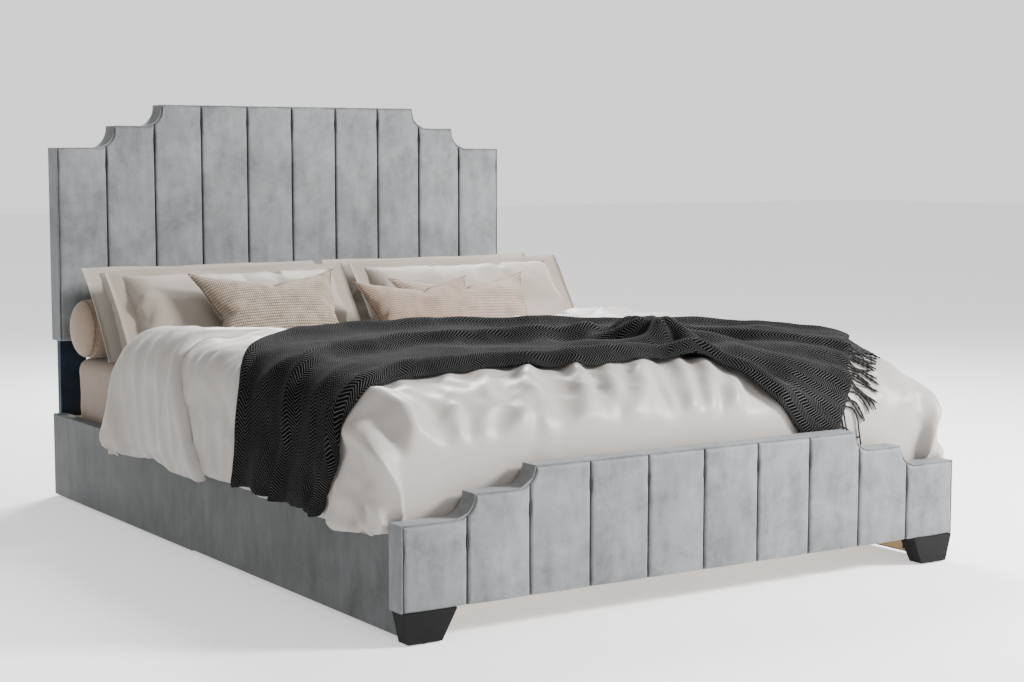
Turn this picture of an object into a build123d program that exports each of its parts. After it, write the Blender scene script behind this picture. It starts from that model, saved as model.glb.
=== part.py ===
from build123d import *
import math
import os

os.makedirs("parts", exist_ok=True)

# Queen-size upholstered panel bed with its bedding.
# Frame: x across the bed, y from foot (-) to head (+), z up, origin at the centre of the floor area.

# ---- overall sizes ----
FOOT_FRONT = -1120.0
HEAD_BACK = 1120.0
FOOT_WIDTH = 1660.0
HEAD_WIDTH = 1600.0
CHANNELS = 10
BAND = 3.0          # upholstery band round the panel edges
GROOVE = 1.0        # half of the gap between two channels
CROWN = 9.0         # how far the middle of a channel stands proud of its seams

# ---- headboard layers, front to back ----
HEAD_PAD = 35.0
HEAD_CORE = 18.0
HEAD_BATTEN = 25.0
HEAD_CLOTH = 2.0
HEAD_FRONT = HEAD_BACK - HEAD_PAD - HEAD_CORE - HEAD_BATTEN - HEAD_CLOTH
HEAD_CORE_FRONT = HEAD_FRONT + HEAD_PAD
HEAD_CORE_BACK = HEAD_CORE_FRONT + HEAD_CORE
HEAD_CLOTH_FRONT = HEAD_BACK - HEAD_CLOTH
HEAD_BASE = 490.0
HEAD_LEVELS = (1084.0, 1152.0, 1219.0)
HEAD_CORNERS = (612.0, 454.0)
COVE = 53.0

# ---- footboard layers, front to back ----
FOOT_PAD = 30.0
FOOT_CORE = 18.0
FOOT_LINING = 14.0
FOOT_CORE_FRONT = FOOT_FRONT + FOOT_PAD
FOOT_CORE_BACK = FOOT_CORE_FRONT + FOOT_CORE
FOOT_BACK = FOOT_CORE_BACK + FOOT_LINING
FOOT_BASE = 74.0
FOOT_LEVELS = (267.0, 320.0, 369.0)
FOOT_CORNERS = (642.0, 482.0)

# ---- headboard posts and floor glides ----
POST_WIDTH = 85.0
POST_OUTER = 785.0
POST_TOP = 1000.0
POST_X = POST_OUTER - POST_WIDTH / 2
GLIDE = 3.0

# ---- feet under the footboard ----
FOOT_X = 759.0
FOOT_SHIFT = 11.0   # the taper is steeper on the inner side
FOOT_Y = FOOT_FRONT + 30.0
FOOT_TOP = (134.0, 56.0)
FOOT_TIP = (86.0, 44.0)

# ---- side rails ----
RAIL_OUTER = 811.0
COVER = 3.0
RAIL_THICK = 35.0
RAIL_INNER = RAIL_OUTER - COVER - RAIL_THICK
RAIL_LOW = 12.0
RAIL_HIGH = 262.0
RAIL_JOINT = 48.0
JOINT_GAP = 0.4
REAR_DROP = 3.0     # the rear half hangs a touch lower than the front half

# ---- slat support ----
LEDGER = (30.0, 40.0)
SLAT = (70.0, 15.0)
SLAT_COUNT = 12
SLAT_SPAN = 2000.0
SLAT_LOW = 170.0
BEAM = (30.0, 50.0)
BEAM_WALL = 2.0
CROSS_LOW = 126.0
CROSS_HIGH = 250.0
CROSS_THICK = 28.0
LEG_YS = (-650.0, -20.0, 640.0)
LEG_DIAMETER = 32.0
LEG_LOW = 21.0
STEM_DIAMETER = 8.0
STEM_TOP = 60.0

# ---- brackets and bolts ----
BRACKET_LOW = 36.0
BRACKET_HIGH = 120.0
BRACKET_LEG = 60.0
BRACKET_THICK = 4.0
BOLT = 8.0
BOLT_ROWS = (57.0, 99.0)
BOLT_SLACK = 0.4

# ---- mattress and bedding ----
MATTRESS = (1524.0, 2032.0, 254.0)
MATTRESS_Y = 1.0
MATTRESS_LOW = 187.0
SHEET = 1.5
REST_GAP = 0.5      # air between pieces that lift apart
SHEET_TOP = MATTRESS_LOW + MATTRESS[2] + SHEET
BOLSTER_DIAMETER = 185.0
BOLSTER_LENGTH = 1600.0
BOLSTER_Y = 930.0
LEAN = 38.0
PILLOW = (785.0, 335.0, 140.0)
PILLOW_X = 402.0
DUVET_HEM = 236.0
DUVET_LOW = SHEET_TOP + REST_GAP
DUVET_INNER = 815.0
DUVET_FOOT = -1052.0
DUVET_FOOT_INNER = -1020.0
DUVET_HEAD = 440.0
DUVET_TAB = 660.0
DUVET_NOTCH = (-620.0, 575.0, 212.0)
THROW_THICK = 12.0
THROW_HEM = 262.0

UP = (Align.CENTER, Align.CENTER, Align.MIN)
DOWN = (Align.CENTER, Align.CENTER, Align.MAX)
HEADING = {
    "+x": Rot(0, 90, 0),
    "-x": Rot(0, -90, 0),
    "+y": Rot(-90, 0, 0),
    "-y": Rot(90, 0, 0),
    "+z": Rot(0, 0, 0),
    "-z": Rot(180, 0, 0),
}


def save(name, *shapes):
    solids = [solid for shape in shapes for solid in shape.solids()]
    whole = solids[0] if len(solids) == 1 else Compound(children=solids)
    whole.label = name
    export_step(whole, f"parts/{name}.step")


def block(x0, x1, y0, y1, z0, z1):
    """Box given by its six faces."""
    size = (abs(x1 - x0), abs(y1 - y0), abs(z1 - z0))
    return Pos((x0 + x1) / 2, (y0 + y1) / 2, (z0 + z1) / 2) * Box(*size)


def slab(sketch, front, back):
    """Sketch drawn in x and z, made solid between two y planes."""
    return extrude(Plane.XZ.offset(-back) * sketch, amount=back - front, dir=(0, -1, 0))


def bolt(length, heading, at, shank=BOLT, head=14.0, head_height=4.0):
    """Bolt whose head seats at the given point and faces the heading."""
    body = Cylinder(shank / 2, length, align=DOWN) + Cylinder(head / 2, head_height, align=UP)
    return Pos(*at) * HEADING[heading] * body


def bore(length, heading, at, diameter=BOLT):
    """Clearance hole running back from the seat of a bolt."""
    hole = Cylinder(diameter / 2 + BOLT_SLACK / 2, length, align=DOWN)
    return Pos(*at) * HEADING[heading] * hole


def stepped_outline(width, base, levels, corners, inset=0.0):
    """Panel outline with two cove steps on each side."""
    half = width / 2 - inset
    shoulder, step, top = [level - inset for level in levels]
    steps = []
    for corner, low, high in ((corners[0], shoulder, step), (corners[1], step, top)):
        foot = (corner + COVE, low)
        belly = (corner - inset + 0.293 * (COVE + inset), low + 0.293 * (high - low))
        steps.append((foot, belly, (corner - inset, high)))
    edges = []
    for side in (1, -1):
        outer, inner = [[(side * x, z) for x, z in step_points] for step_points in steps]
        edges.append(Line((0, base), (side * half, base)))
        edges.append(Line((side * half, base), (side * half, shoulder)))
        edges.append(Line((side * half, shoulder), outer[0]))
        edges.append(ThreePointArc(*outer))
        edges.append(Line(outer[2], inner[0]))
        edges.append(ThreePointArc(*inner))
        edges.append(Line(inner[2], (0, top)))
    return make_face(Wire.combine(edges)[0])


def channel_pads(width, base, outline, front, back):
    """Row of padded vertical channels, each one its own stuffed tube."""
    pitch = width / CHANNELS
    shell = slab(outline, front, back)
    pads = []
    for i in range(CHANNELS):
        left = -width / 2 + i * pitch + GROOVE
        right = left + pitch - 2 * GROOVE
        seam = front + CROWN
        nose = ThreePointArc((left, seam), ((left + right) / 2, front), (right, seam))
        rest = Polyline((right, seam), (right, back), (left, back), (left, seam))
        section = make_face(Wire.combine([nose, *rest.edges()])[0])
        tube = Pos(0, 0, base) * extrude(section, amount=1300, dir=(0, 0, 1))
        pads.append(shell & tube)
    return pads


def edge_band(width, base, levels, corners, front, back):
    """Band of cloth over the top and down both ends of a panel."""
    outer = stepped_outline(width, base, levels, corners)
    inner = stepped_outline(width, base, levels, corners, BAND)
    return slab(outer, front, back) - slab(inner, front - 1, back + 1)


# ================= headboard =================

def headboard_fixings():
    """Seats of the bolts that pass from the posts into the board."""
    return [(side * POST_X, z) for side in (-1, 1) for z in (560, 700, 840, 960)]


def cross_rail_seats():
    face = HEAD_CORE_BACK - CROSS_THICK
    return [(side * 735, face, z) for side in (-1, 1) for z in (158, 218)]


def cross_rail_bolts():
    """Bolts holding the cross rail to the posts, same thread as the headboard's."""
    return [bolt(CROSS_THICK + 25, "-y", seat) for seat in cross_rail_seats()]


def headboard():
    levels, corners = HEAD_LEVELS, HEAD_CORNERS
    face = stepped_outline(HEAD_WIDTH, HEAD_BASE, levels, corners, BAND)
    save(
        "headboard_channels",
        *channel_pads(HEAD_WIDTH, HEAD_BASE, face, HEAD_FRONT, HEAD_CORE_FRONT),
    )
    core = slab(face, HEAD_CORE_FRONT, HEAD_CORE_BACK)
    nuts = []
    bolts = []
    seat = HEAD_BACK - 5.0
    for x, z in headboard_fixings():
        core -= bore(HEAD_CORE, "+y", (x, HEAD_CORE_BACK, z), 11)
        core -= bore(2, "+y", (x, HEAD_CORE_FRONT + 1.8, z), 20)
        flange = Pos(x, HEAD_CORE_FRONT + 1.6, z) * HEADING["+y"] * Cylinder(10, 1.5, align=DOWN)
        barrel = Pos(x, HEAD_CORE_FRONT + 1.6, z) * HEADING["+y"] * Cylinder(5.5, 10, align=UP)
        nuts.append(flange + barrel - bore(20, "+y", (x, HEAD_CORE_FRONT + 15, z)))
        bolts.append(bolt(seat - HEAD_CORE_FRONT - 2, "+y", (x, seat, z)))
    save("headboard_core", core)
    save("headboard_t_nuts", *nuts)
    save("post_bolts", *bolts, *cross_rail_bolts())

    inside = POST_OUTER - POST_WIDTH - 3
    lower = block(-inside, inside, HEAD_CORE_BACK, HEAD_CLOTH_FRONT, HEAD_BASE, HEAD_BASE + 70)
    middle = block(-inside, inside, HEAD_CORE_BACK, HEAD_CLOTH_FRONT, 760, 830)
    crown = slab(face, HEAD_CORE_BACK, HEAD_CLOTH_FRONT) & block(-800, 800, 900, 1200, 1010, 1300)
    edge = HEAD_WIDTH / 2 - BAND
    stiles = [
        block(side * (POST_OUTER + 0.5), side * edge, HEAD_CORE_BACK, HEAD_CLOTH_FRONT, HEAD_BASE, 1009.5)
        for side in (-1, 1)
    ]
    save("headboard_battens", lower, middle, crown, *stiles)

    cloth = slab(face, HEAD_CLOTH_FRONT, HEAD_BACK)
    for side in (-1, 1):
        inner = side * (POST_OUTER - POST_WIDTH - 1)
        cloth -= block(inner, side * (POST_OUTER + 0.5), 1100, 1130, 0, POST_TOP + 1)
    save("headboard_back_cloth", cloth)
    save(
        "headboard_edge_band",
        edge_band(HEAD_WIDTH, HEAD_BASE, levels, corners, HEAD_FRONT + CROWN, HEAD_BACK),
    )


def headboard_post(side):
    """Painted leg board behind the headboard, standing on the floor."""
    x0 = side * (POST_OUTER - POST_WIDTH)
    x1 = side * POST_OUTER
    post = block(x0, x1, HEAD_CORE_BACK, HEAD_BACK, GLIDE, POST_TOP)
    post = chamfer(post.edges().filter_by(Axis.Z), 1.5)
    for x, z in headboard_fixings():
        if x * side > 0:
            post -= bore(40, "+y", (x, HEAD_BACK, z))
            post -= bore(5, "+y", (x, HEAD_BACK, z), 16)
    for z in BOLT_ROWS:
        post -= bore(26, "-y", (side * 738, HEAD_CORE_BACK, z))
    for z in (158, 218):
        post -= bore(26, "-y", (side * 735, HEAD_CORE_BACK, z))
    return post


def head_cross_rail():
    """Board between the posts that carries the head end of the centre beam."""
    rail = block(-770, 770, HEAD_CORE_BACK - CROSS_THICK, HEAD_CORE_BACK, CROSS_LOW, CROSS_HIGH)
    for seat in cross_rail_seats():
        rail -= bore(60, "-y", seat)
    save("head_cross_rail", rail)


# ================= footboard =================

def foot_fixings():
    return [(side * x, FOOT_CORE_FRONT + FOOT_CORE / 2) for side in (-1, 1) for x in (757, 800)]


def footboard():
    levels, corners = FOOT_LEVELS, FOOT_CORNERS
    face = stepped_outline(FOOT_WIDTH, FOOT_BASE, levels, corners, BAND)
    save(
        "footboard_channels",
        *channel_pads(FOOT_WIDTH, FOOT_BASE, face, FOOT_FRONT, FOOT_CORE_FRONT),
    )
    core = slab(face, FOOT_CORE_FRONT, FOOT_CORE_BACK)
    lining = slab(face, FOOT_CORE_BACK, FOOT_BACK)
    for side in (-1, 1):
        for z in BOLT_ROWS[1:]:
            core -= bore(14 + 16, "+y", (side * 735, FOOT_BACK, z))
            lining -= bore(14, "+y", (side * 735, FOOT_BACK, z))
    hangers = []
    for x, y in foot_fixings():
        core -= bore(42, "-z", (x, y, FOOT_BASE))
        hangers.append(Pos(x, y, FOOT_BASE - 30) * Cylinder(BOLT / 2, 70, align=UP))
    save("footboard_core", core)
    save("footboard_inner_lining", lining)
    save(
        "footboard_edge_band",
        edge_band(FOOT_WIDTH, FOOT_BASE, levels, corners, FOOT_FRONT + CROWN, FOOT_BACK),
    )
    save("foot_hanger_bolts", *hangers)


def footboard_foot(side):
    """Black block foot, tapered more on its inner side."""
    top = Plane.XY.offset(FOOT_BASE) * Pos(side * FOOT_X, FOOT_Y) * Rectangle(*FOOT_TOP)
    tip_at = Pos(side * (FOOT_X + FOOT_SHIFT), FOOT_Y)
    tip = Plane.XY.offset(GLIDE) * tip_at * Rectangle(*FOOT_TIP)
    foot = loft([tip.face(), top.face()])
    for x, y in foot_fixings():
        if x * side > 0:
            foot -= bore(32, "+z", (x, y, FOOT_BASE))
    return foot


def floor_glides():
    """Plastic pads nailed under the feet and the posts."""
    front = [
        Pos(side * (FOOT_X + FOOT_SHIFT), FOOT_Y, 0) * Cylinder(15, GLIDE, align=UP)
        for side in (-1, 1)
    ]
    post_y = (HEAD_CORE_BACK + HEAD_BACK) / 2
    rear = [Pos(side * POST_X, post_y, 0) * Cylinder(12, GLIDE, align=UP) for side in (-1, 1)]
    save("floor_glides", *front, *rear)


# ================= side rails =================

def rail_halves():
    """Name, start, end and sag of the two halves of a rail."""
    front = ("front", FOOT_BACK, RAIL_JOINT - JOINT_GAP, 0.0)
    rear = ("rear", RAIL_JOINT + JOINT_GAP, HEAD_CORE_BACK, REAR_DROP)
    return (front, rear)


def joint_fixings():
    return [(RAIL_JOINT + dy, z) for dy in (-110, -50, 50, 110) for z in BOLT_ROWS]


def bracket_ys():
    """Where the bolts of a foot bracket and of a head bracket enter the rail."""
    return (FOOT_BACK + 38, HEAD_CORE_BACK - 38)


def side_rail(side, y0, y1):
    board = block(
        side * RAIL_INNER, side * (RAIL_OUTER - COVER), y0, y1, RAIL_LOW + COVER, RAIL_HIGH - COVER
    )
    heading = "-x" if side > 0 else "+x"
    for z in BOLT_ROWS:
        for y in bracket_ys():
            if y0 < y < y1:
                board -= bore(31, heading, (side * RAIL_INNER, y, z))
    for y, z in joint_fixings():
        if y0 < y < y1:
            board -= bore(31, heading, (side * RAIL_INNER, y, z))
    return board


def rail_cover(side, y0, y1, sag):
    """Upholstered skin wrapped over the outside, top and bottom of a rail."""
    low = RAIL_LOW - sag
    skin = block(side * RAIL_INNER, side * RAIL_OUTER, y0, y1, low, RAIL_HIGH)
    corners = skin.edges().filter_by(Axis.Y).sort_by(Axis.X)
    skin = fillet(corners[-2:] if side > 0 else corners[:2], COVER)
    inner = side * (RAIL_INNER - 5)
    return skin - block(
        inner, side * (RAIL_OUTER - COVER), y0 - 1, y1 + 1, RAIL_LOW + COVER, RAIL_HIGH - COVER
    )


def side_rails():
    for side, word in ((-1, "left"), (1, "right")):
        for half, y0, y1, sag in rail_halves():
            save(f"side_rail_{half}_{word}", side_rail(side, y0, y1))
            save(f"rail_cover_{half}_{word}", rail_cover(side, y0, y1, sag))


def rail_joint_plate(side):
    face = RAIL_INNER - 5
    plate = block(
        side * face, side * RAIL_INNER, RAIL_JOINT - 150, RAIL_JOINT + 150, 30, BRACKET_HIGH + 2
    )
    plate = fillet(plate.edges().filter_by(Axis.X), 8)
    heading = "-x" if side > 0 else "+x"
    for y, z in joint_fixings():
        plate -= bore(6, heading, (side * face, y, z))
    return plate


def rail_joint_bolts():
    bolts = []
    for side, heading in ((-1, "+x"), (1, "-x")):
        for y, z in joint_fixings():
            bolts.append(bolt(34, heading, (side * (RAIL_INNER - 5), y, z)))
    return bolts


# ================= corner brackets =================

def corner_bracket(side, wall, inward):
    """Angle plate joining a rail to the board at its end; inward is the y direction to the bed."""
    face = RAIL_INNER - BRACKET_THICK
    along = block(
        side * face, side * RAIL_INNER, wall, wall + inward * BRACKET_LEG, BRACKET_LOW, BRACKET_HIGH
    )
    across = block(
        side * (RAIL_INNER - BRACKET_LEG),
        side * RAIL_INNER,
        wall,
        wall + inward * BRACKET_THICK,
        BRACKET_LOW,
        BRACKET_HIGH,
    )
    plate = along + across
    heading = "-x" if side > 0 else "+x"
    across_heading = "+y" if inward > 0 else "-y"
    across_x = 735 if inward > 0 else 738
    for z in BOLT_ROWS:
        plate -= bore(6, heading, (side * face, wall + inward * 38, z))
        if inward < 0 or z > FOOT_BASE:
            seat = (side * across_x, wall + inward * BRACKET_THICK, z)
            plate -= bore(6, across_heading, seat)
    return plate


def bracket_bolts():
    bolts = []
    for side, heading in ((-1, "+x"), (1, "-x")):
        for y in bracket_ys():
            for z in BOLT_ROWS:
                bolts.append(bolt(33, heading, (side * (RAIL_INNER - BRACKET_THICK), y, z)))
        front = (side * 735, FOOT_BACK + BRACKET_THICK, BOLT_ROWS[1])
        bolts.append(bolt(32, "+y", front))
        for z in BOLT_ROWS:
            rear = (side * 738, HEAD_CORE_BACK - BRACKET_THICK, z)
            bolts.append(bolt(28, "-y", rear))
    return bolts


# ================= slat platform =================

def slat_ledger(side):
    """Strip along the inside of a rail that the slats rest on."""
    low = SLAT_LOW - LEDGER[1]
    return block(
        side * (RAIL_INNER - LEDGER[0]), side * RAIL_INNER, FOOT_BACK + 6, 1060, low, SLAT_LOW
    )


def slats():
    """Loose-laid flat slats with eased ends."""
    pitch = SLAT_SPAN / (SLAT_COUNT - 1)
    rows = []
    for i in range(SLAT_COUNT):
        y = -SLAT_SPAN / 2 + i * pitch
        board = block(-768, 768, y - SLAT[0] / 2, y + SLAT[0] / 2, SLAT_LOW, SLAT_LOW + SLAT[1])
        rows.append(fillet(board.edges().filter_by(Axis.Z), 6))
    return rows


def tube(width, height, wall, y0, y1, top):
    """Rectangular steel tube lying along the bed, its upper face at the given height."""
    outer = block(-width / 2, width / 2, y0, y1, top - height, top)
    half = width / 2 - wall
    return outer - block(-half, half, y0 - 1, y1 + 1, top - height + wall, top - wall)


def centre_beam():
    foot = tube(*BEAM, BEAM_WALL, FOOT_BACK + 3.5, RAIL_JOINT - 0.5, SLAT_LOW)
    head = tube(*BEAM, BEAM_WALL, RAIL_JOINT + 0.5, 1061.5, SLAT_LOW)
    for y in LEG_YS:
        for dy in (-26, 26):
            hole = bore(12, "-z", (0, y + dy, SLAT_LOW - BEAM[1]), 4)
            foot -= hole
            head -= hole
    inner = (BEAM[0] - 2 * BEAM_WALL - 0.6, BEAM[1] - 2 * BEAM_WALL - 0.6)
    sleeve = tube(*inner, 2.0, RAIL_JOINT - 30, RAIL_JOINT + 120, SLAT_LOW - BEAM_WALL - 0.3)
    save("centre_beam_foot", foot)
    save("centre_beam_head", head)
    save("beam_splice_sleeve", sleeve)


def beam_hanger(wall, inward):
    """Steel cup screwed to an end board, holding the end of the centre beam."""
    low = SLAT_LOW - BEAM[1]
    plate = block(-32, 32, wall, wall + inward * 3, low - 16, low + 42)
    cup = block(-18, 18, wall + inward * 3, wall + inward * 48, low - 3, low + 30)
    hollow = block(-15.2, 15.2, wall + inward * 3, wall + inward * 50, low, low + 40)
    return plate + (cup - hollow)


def support_leg(y):
    """Tube leg with a top plate, bored for its levelling foot."""
    top = SLAT_LOW - BEAM[1]
    plate = block(-22, 22, y - 36, y + 36, top - 3, top)
    leg = Pos(0, y, LEG_LOW) * Cylinder(LEG_DIAMETER / 2, top - 3 - LEG_LOW, align=UP)
    whole = leg + plate
    whole -= Pos(0, y, LEG_LOW - 1) * Cylinder(STEM_DIAMETER / 2 + 0.05, 60, align=UP)
    for dy in (-26, 26):
        whole -= bore(5, "-z", (0, y + dy, top - 4), 4)
    return whole


def levelling_foot(y):
    pad = Cylinder(20, 8, align=UP)
    pad = chamfer(pad.edges().sort_by(Axis.Z)[-1], 3)
    stem = Pos(0, 0, 7) * Cylinder(STEM_DIAMETER / 2, STEM_TOP - 7, align=UP)
    return Pos(0, y, 0) * (pad + stem)


def support_screws():
    top = SLAT_LOW - BEAM[1] - 3
    return [
        bolt(9, "-z", (0, y + dy, top), shank=4, head=8, head_height=2.5)
        for y in LEG_YS
        for dy in (-26, 26)
    ]


# ================= mattress and bedding =================

def rounded_slab(grow):
    """Mattress block, grown evenly for the cloth round it."""
    width, length, height = [size + 2 * grow for size in MATTRESS]
    plan = RectangleRounded(width, length, 60 + grow)
    body = extrude(plan, amount=height)
    body = fillet(body.edges().group_by(Axis.Z)[-1] + body.edges().group_by(Axis.Z)[0], 22 + grow)
    return Pos(0, MATTRESS_Y, MATTRESS_LOW - grow) * body


def fitted_sheet():
    """Skin over the mattress, turned under its edge and open beneath."""
    opening = block(-690, 690, MATTRESS_Y - 944, MATTRESS_Y + 944, 150, MATTRESS_LOW + 20)
    return rounded_slab(SHEET) - rounded_slab(0) - opening


def bolster():
    """Long round cushion along the headboard."""
    roll = Rot(0, 90, 0) * Cylinder(BOLSTER_DIAMETER / 2, BOLSTER_LENGTH)
    roll = fillet(roll.edges().filter_by(GeomType.CIRCLE), 45)
    return Pos(0, BOLSTER_Y, DUVET_LOW + BOLSTER_DIAMETER / 2) * roll


def cushion_form(width, height, thick):
    """Stuffed square pad with soft edges, standing on its long side."""
    plan = RectangleRounded(width, height, 55)
    pad = Pos(0, 0, -thick / 2) * extrude(plan, amount=thick)
    faces = pad.edges().group_by(Axis.Z)
    pad = fillet(faces[0] + faces[-1], 0.45 * thick)
    return Rot(90 - LEAN, 0, 0) * pad


def propped(size, x, y):
    """Cushion leaning back, its lowest edge on the sheet and its middle at y."""
    pad = cushion_form(*size)
    low = pad.bounding_box().min.Z
    return Pos(x, y, DUVET_LOW - low) * pad


def stack_ys():
    """Middle of each leaning layer, from the bolster forwards."""
    slope = math.radians(LEAN)
    centre_z = DUVET_LOW + PILLOW[1] / 2 * math.cos(slope) + 20
    bolster_z = DUVET_LOW + BOLSTER_DIAMETER / 2
    reach = BOLSTER_DIAMETER / 2 + PILLOW[2] / 2 + 3
    back = BOLSTER_Y - reach / math.cos(slope) + (centre_z - bolster_z) * math.tan(slope)
    front = back - (PILLOW[2] + 5) / math.cos(slope)
    return back, front


def forward_of(y, size, ahead_of, gap=5.0):
    """Middle of a cushion lying against the front of another one of a different height."""
    slope = math.radians(LEAN)
    apart = (size[2] + ahead_of[2]) / 2 + gap
    drop = (ahead_of[1] - size[1]) / 2 * math.cos(slope)
    round_off = 0.9 * (ahead_of[2] - size[2]) / 2 * (1 - math.cos(slope))
    return y - apart / math.cos(slope) - (drop + round_off) * math.tan(slope)


def duvet_profile(grow=0.0):
    """Cross-section of the duvet over mattress and rails."""
    side = 864.0 + grow
    top = 566.0 + grow
    hip = (side - 6, 430)
    shoulder = (side - 64, top - 26)
    crest = [shoulder, (side - 164, top - 9), (side - 464, top - 1), (0, top)]
    edges = [Line((-side, 100), (side, 100))]
    for turn in (1, -1):
        low, bend = [(turn * x, z) for x, z in (hip, shoulder)]
        edges.append(Line((turn * side, 100), low))
        edges.append(TangentArc(low, bend, tangent=(-turn * 0.018, 1)))
        edges.append(Spline(*[(turn * x, z) for x, z in crest]))
    return make_face(Wire.combine(edges)[0])


def duvet_length(grow=0.0):
    """Side view of the duvet, falling away at the foot."""
    foot = DUVET_FOOT - grow
    crest = Spline(
        (foot, 392),
        (foot + 22, 452 + grow),
        (foot + 107, 508 + grow),
        (foot + 222, 545 + grow),
        (-460, 572 + grow),
        (DUVET_HEAD, 580 + grow),
    )
    rest = Polyline((DUVET_HEAD, 580 + grow), (800, 580 + grow), (800, 100), (foot, 100), (foot, 392))
    return make_face(Wire.combine([crest, *rest.edges()])[0])


def duvet_bulk(grow=0.0):
    across = slab(duvet_profile(grow), -1150, 700)
    along = Pos(-1000, 0, 0) * extrude(Plane.YZ * duvet_length(grow), amount=2000, dir=(1, 0, 0))
    return across & along


def duvet():
    """Quilt over the mattress, hanging outside the rails and down inside the footboard."""
    quilt = duvet_bulk() - block(-900, 900, -1200, 800, 0, DUVET_HEM)
    void = Polyline(
        (-DUVET_INNER, 0),
        (-DUVET_INNER, 300),
        (-770, DUVET_LOW),
        (770, DUVET_LOW),
        (DUVET_INNER, 300),
        (DUVET_INNER, 0),
        (-DUVET_INNER, 0),
    )
    quilt -= slab(make_face(void), DUVET_FOOT_INNER, 800)
    for side in (-1, 1):
        quilt -= block(side * 766, side * DUVET_INNER, -1100, DUVET_FOOT_INNER + 5, 0, 268)
        quilt -= block(side * DUVET_INNER, side * 900, -1100, DUVET_FOOT + 12, 0, 300)
    quilt -= block(-DUVET_INNER, DUVET_INNER, DUVET_HEAD, 800, 300, 700)
    left, right, edge = DUVET_NOTCH
    quilt -= block(left, right, edge, 800, 400, 700)
    quilt -= block(-900, 900, DUVET_TAB, 800, 0, 700)
    return quilt


def throw_blanket():
    """Folded throw lying askew across the foot of the duvet."""
    footprint = Polyline(
        (-900, -940),
        (-830, -940),
        (-610, -730),
        (-360, -770),
        (100, -810),
        (500, -1035),
        (800, -1035),
        (800, -400),
        (500, -190),
        (215, -40),
        (-130, 110),
        (-510, 50),
        (-790, -310),
        (-900, -310),
        (-900, -940),
    )
    prism = extrude(make_face(footprint), amount=700)
    layer = duvet_bulk(REST_GAP + THROW_THICK) - duvet_bulk(REST_GAP)
    layer -= block(-950, 950, -1200, 800, 0, THROW_HEM)
    return layer & prism


def bedding():
    save("mattress", rounded_slab(0))
    save("fitted_sheet", fitted_sheet())
    save("bolster", bolster())
    back, front = stack_ys()
    for side, word in ((-1, "left"), (1, "right")):
        save(f"pillow_back_{word}", propped(PILLOW, side * PILLOW_X, back))
        save(f"pillow_front_{word}", propped(PILLOW, side * PILLOW_X, front))
    oatmeal = (470.0, 330.0, 110.0)
    plain = (500.0, 300.0, 70.0)
    ribbed = (405.0, 300.0, 80.0)
    behind = forward_of(front, plain, PILLOW, 4)
    save("cushion_oatmeal", propped(oatmeal, -367, forward_of(front, oatmeal, PILLOW)))
    save("cushion_plain", propped(plain, 310, behind))
    save("cushion_ribbed", propped(ribbed, 80, forward_of(behind, ribbed, plain, 4)))
    save("duvet", duvet())
    save("throw_blanket", throw_blanket())


def frame():
    headboard()
    for side, word in ((-1, "left"), (1, "right")):
        save(f"headboard_post_{word}", headboard_post(side))
        save(f"footboard_foot_{word}", footboard_foot(side))
        save(f"slat_ledger_{word}", slat_ledger(side))
        save(f"rail_joint_plate_{word}", rail_joint_plate(side))
        save(f"bracket_foot_{word}", corner_bracket(side, FOOT_BACK, 1))
        save(f"bracket_head_{word}", corner_bracket(side, HEAD_CORE_BACK, -1))
    head_cross_rail()
    footboard()
    floor_glides()
    side_rails()
    save("rail_joint_bolts", *rail_joint_bolts())
    save("bracket_bolts", *bracket_bolts())
    save("slats", *slats())
    centre_beam()
    save("beam_hangers", beam_hanger(FOOT_BACK, 1), beam_hanger(HEAD_CORE_BACK - CROSS_THICK, -1))
    for i, y in enumerate(LEG_YS, 1):
        save(f"support_leg_{i}", support_leg(y))
        save(f"levelling_foot_{i}", levelling_foot(y))
    save("support_screws", *support_screws())


frame()
bedding()
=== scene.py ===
import bpy
import math
import numpy as np
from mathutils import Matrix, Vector, noise
from mathutils.bvhtree import BVHTree


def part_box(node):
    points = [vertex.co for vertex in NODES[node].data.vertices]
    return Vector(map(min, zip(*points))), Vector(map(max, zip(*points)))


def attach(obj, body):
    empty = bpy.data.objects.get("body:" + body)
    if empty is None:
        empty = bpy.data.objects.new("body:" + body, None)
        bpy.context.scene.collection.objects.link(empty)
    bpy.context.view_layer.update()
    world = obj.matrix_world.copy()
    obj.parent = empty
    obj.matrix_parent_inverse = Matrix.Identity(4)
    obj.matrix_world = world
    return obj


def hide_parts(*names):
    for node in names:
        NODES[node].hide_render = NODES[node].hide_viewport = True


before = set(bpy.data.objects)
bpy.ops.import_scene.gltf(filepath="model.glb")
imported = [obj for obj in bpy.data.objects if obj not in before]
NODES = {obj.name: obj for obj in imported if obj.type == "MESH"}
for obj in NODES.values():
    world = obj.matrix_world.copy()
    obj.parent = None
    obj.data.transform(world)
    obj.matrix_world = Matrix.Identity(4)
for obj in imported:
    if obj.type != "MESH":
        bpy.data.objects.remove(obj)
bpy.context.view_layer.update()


# ---------------------------------------------------------------- small helpers
def mesh_object(name, verts, faces, mat=None, smooth=True, uv=None):
    me = bpy.data.meshes.new(name)
    me.from_pydata([tuple(map(float, v)) for v in verts], [], [tuple(map(int, f)) for f in faces])
    me.validate()
    if uv is not None:
        layer = me.uv_layers.new(name="Cloth")
        flat = np.asarray(uv, dtype=float)[[l.vertex_index for l in me.loops]]
        layer.data.foreach_set("uv", flat.ravel())
    me.polygons.foreach_set("use_smooth", [smooth] * len(me.polygons))
    me.update()
    ob = bpy.data.objects.new(name, me)
    bpy.context.scene.collection.objects.link(ob)
    if mat:
        ob.data.materials.append(mat)
    return ob


def get_verts(ob):
    co = np.empty(len(ob.data.vertices) * 3)
    ob.data.vertices.foreach_get("co", co)
    return co.reshape(-1, 3)


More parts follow.
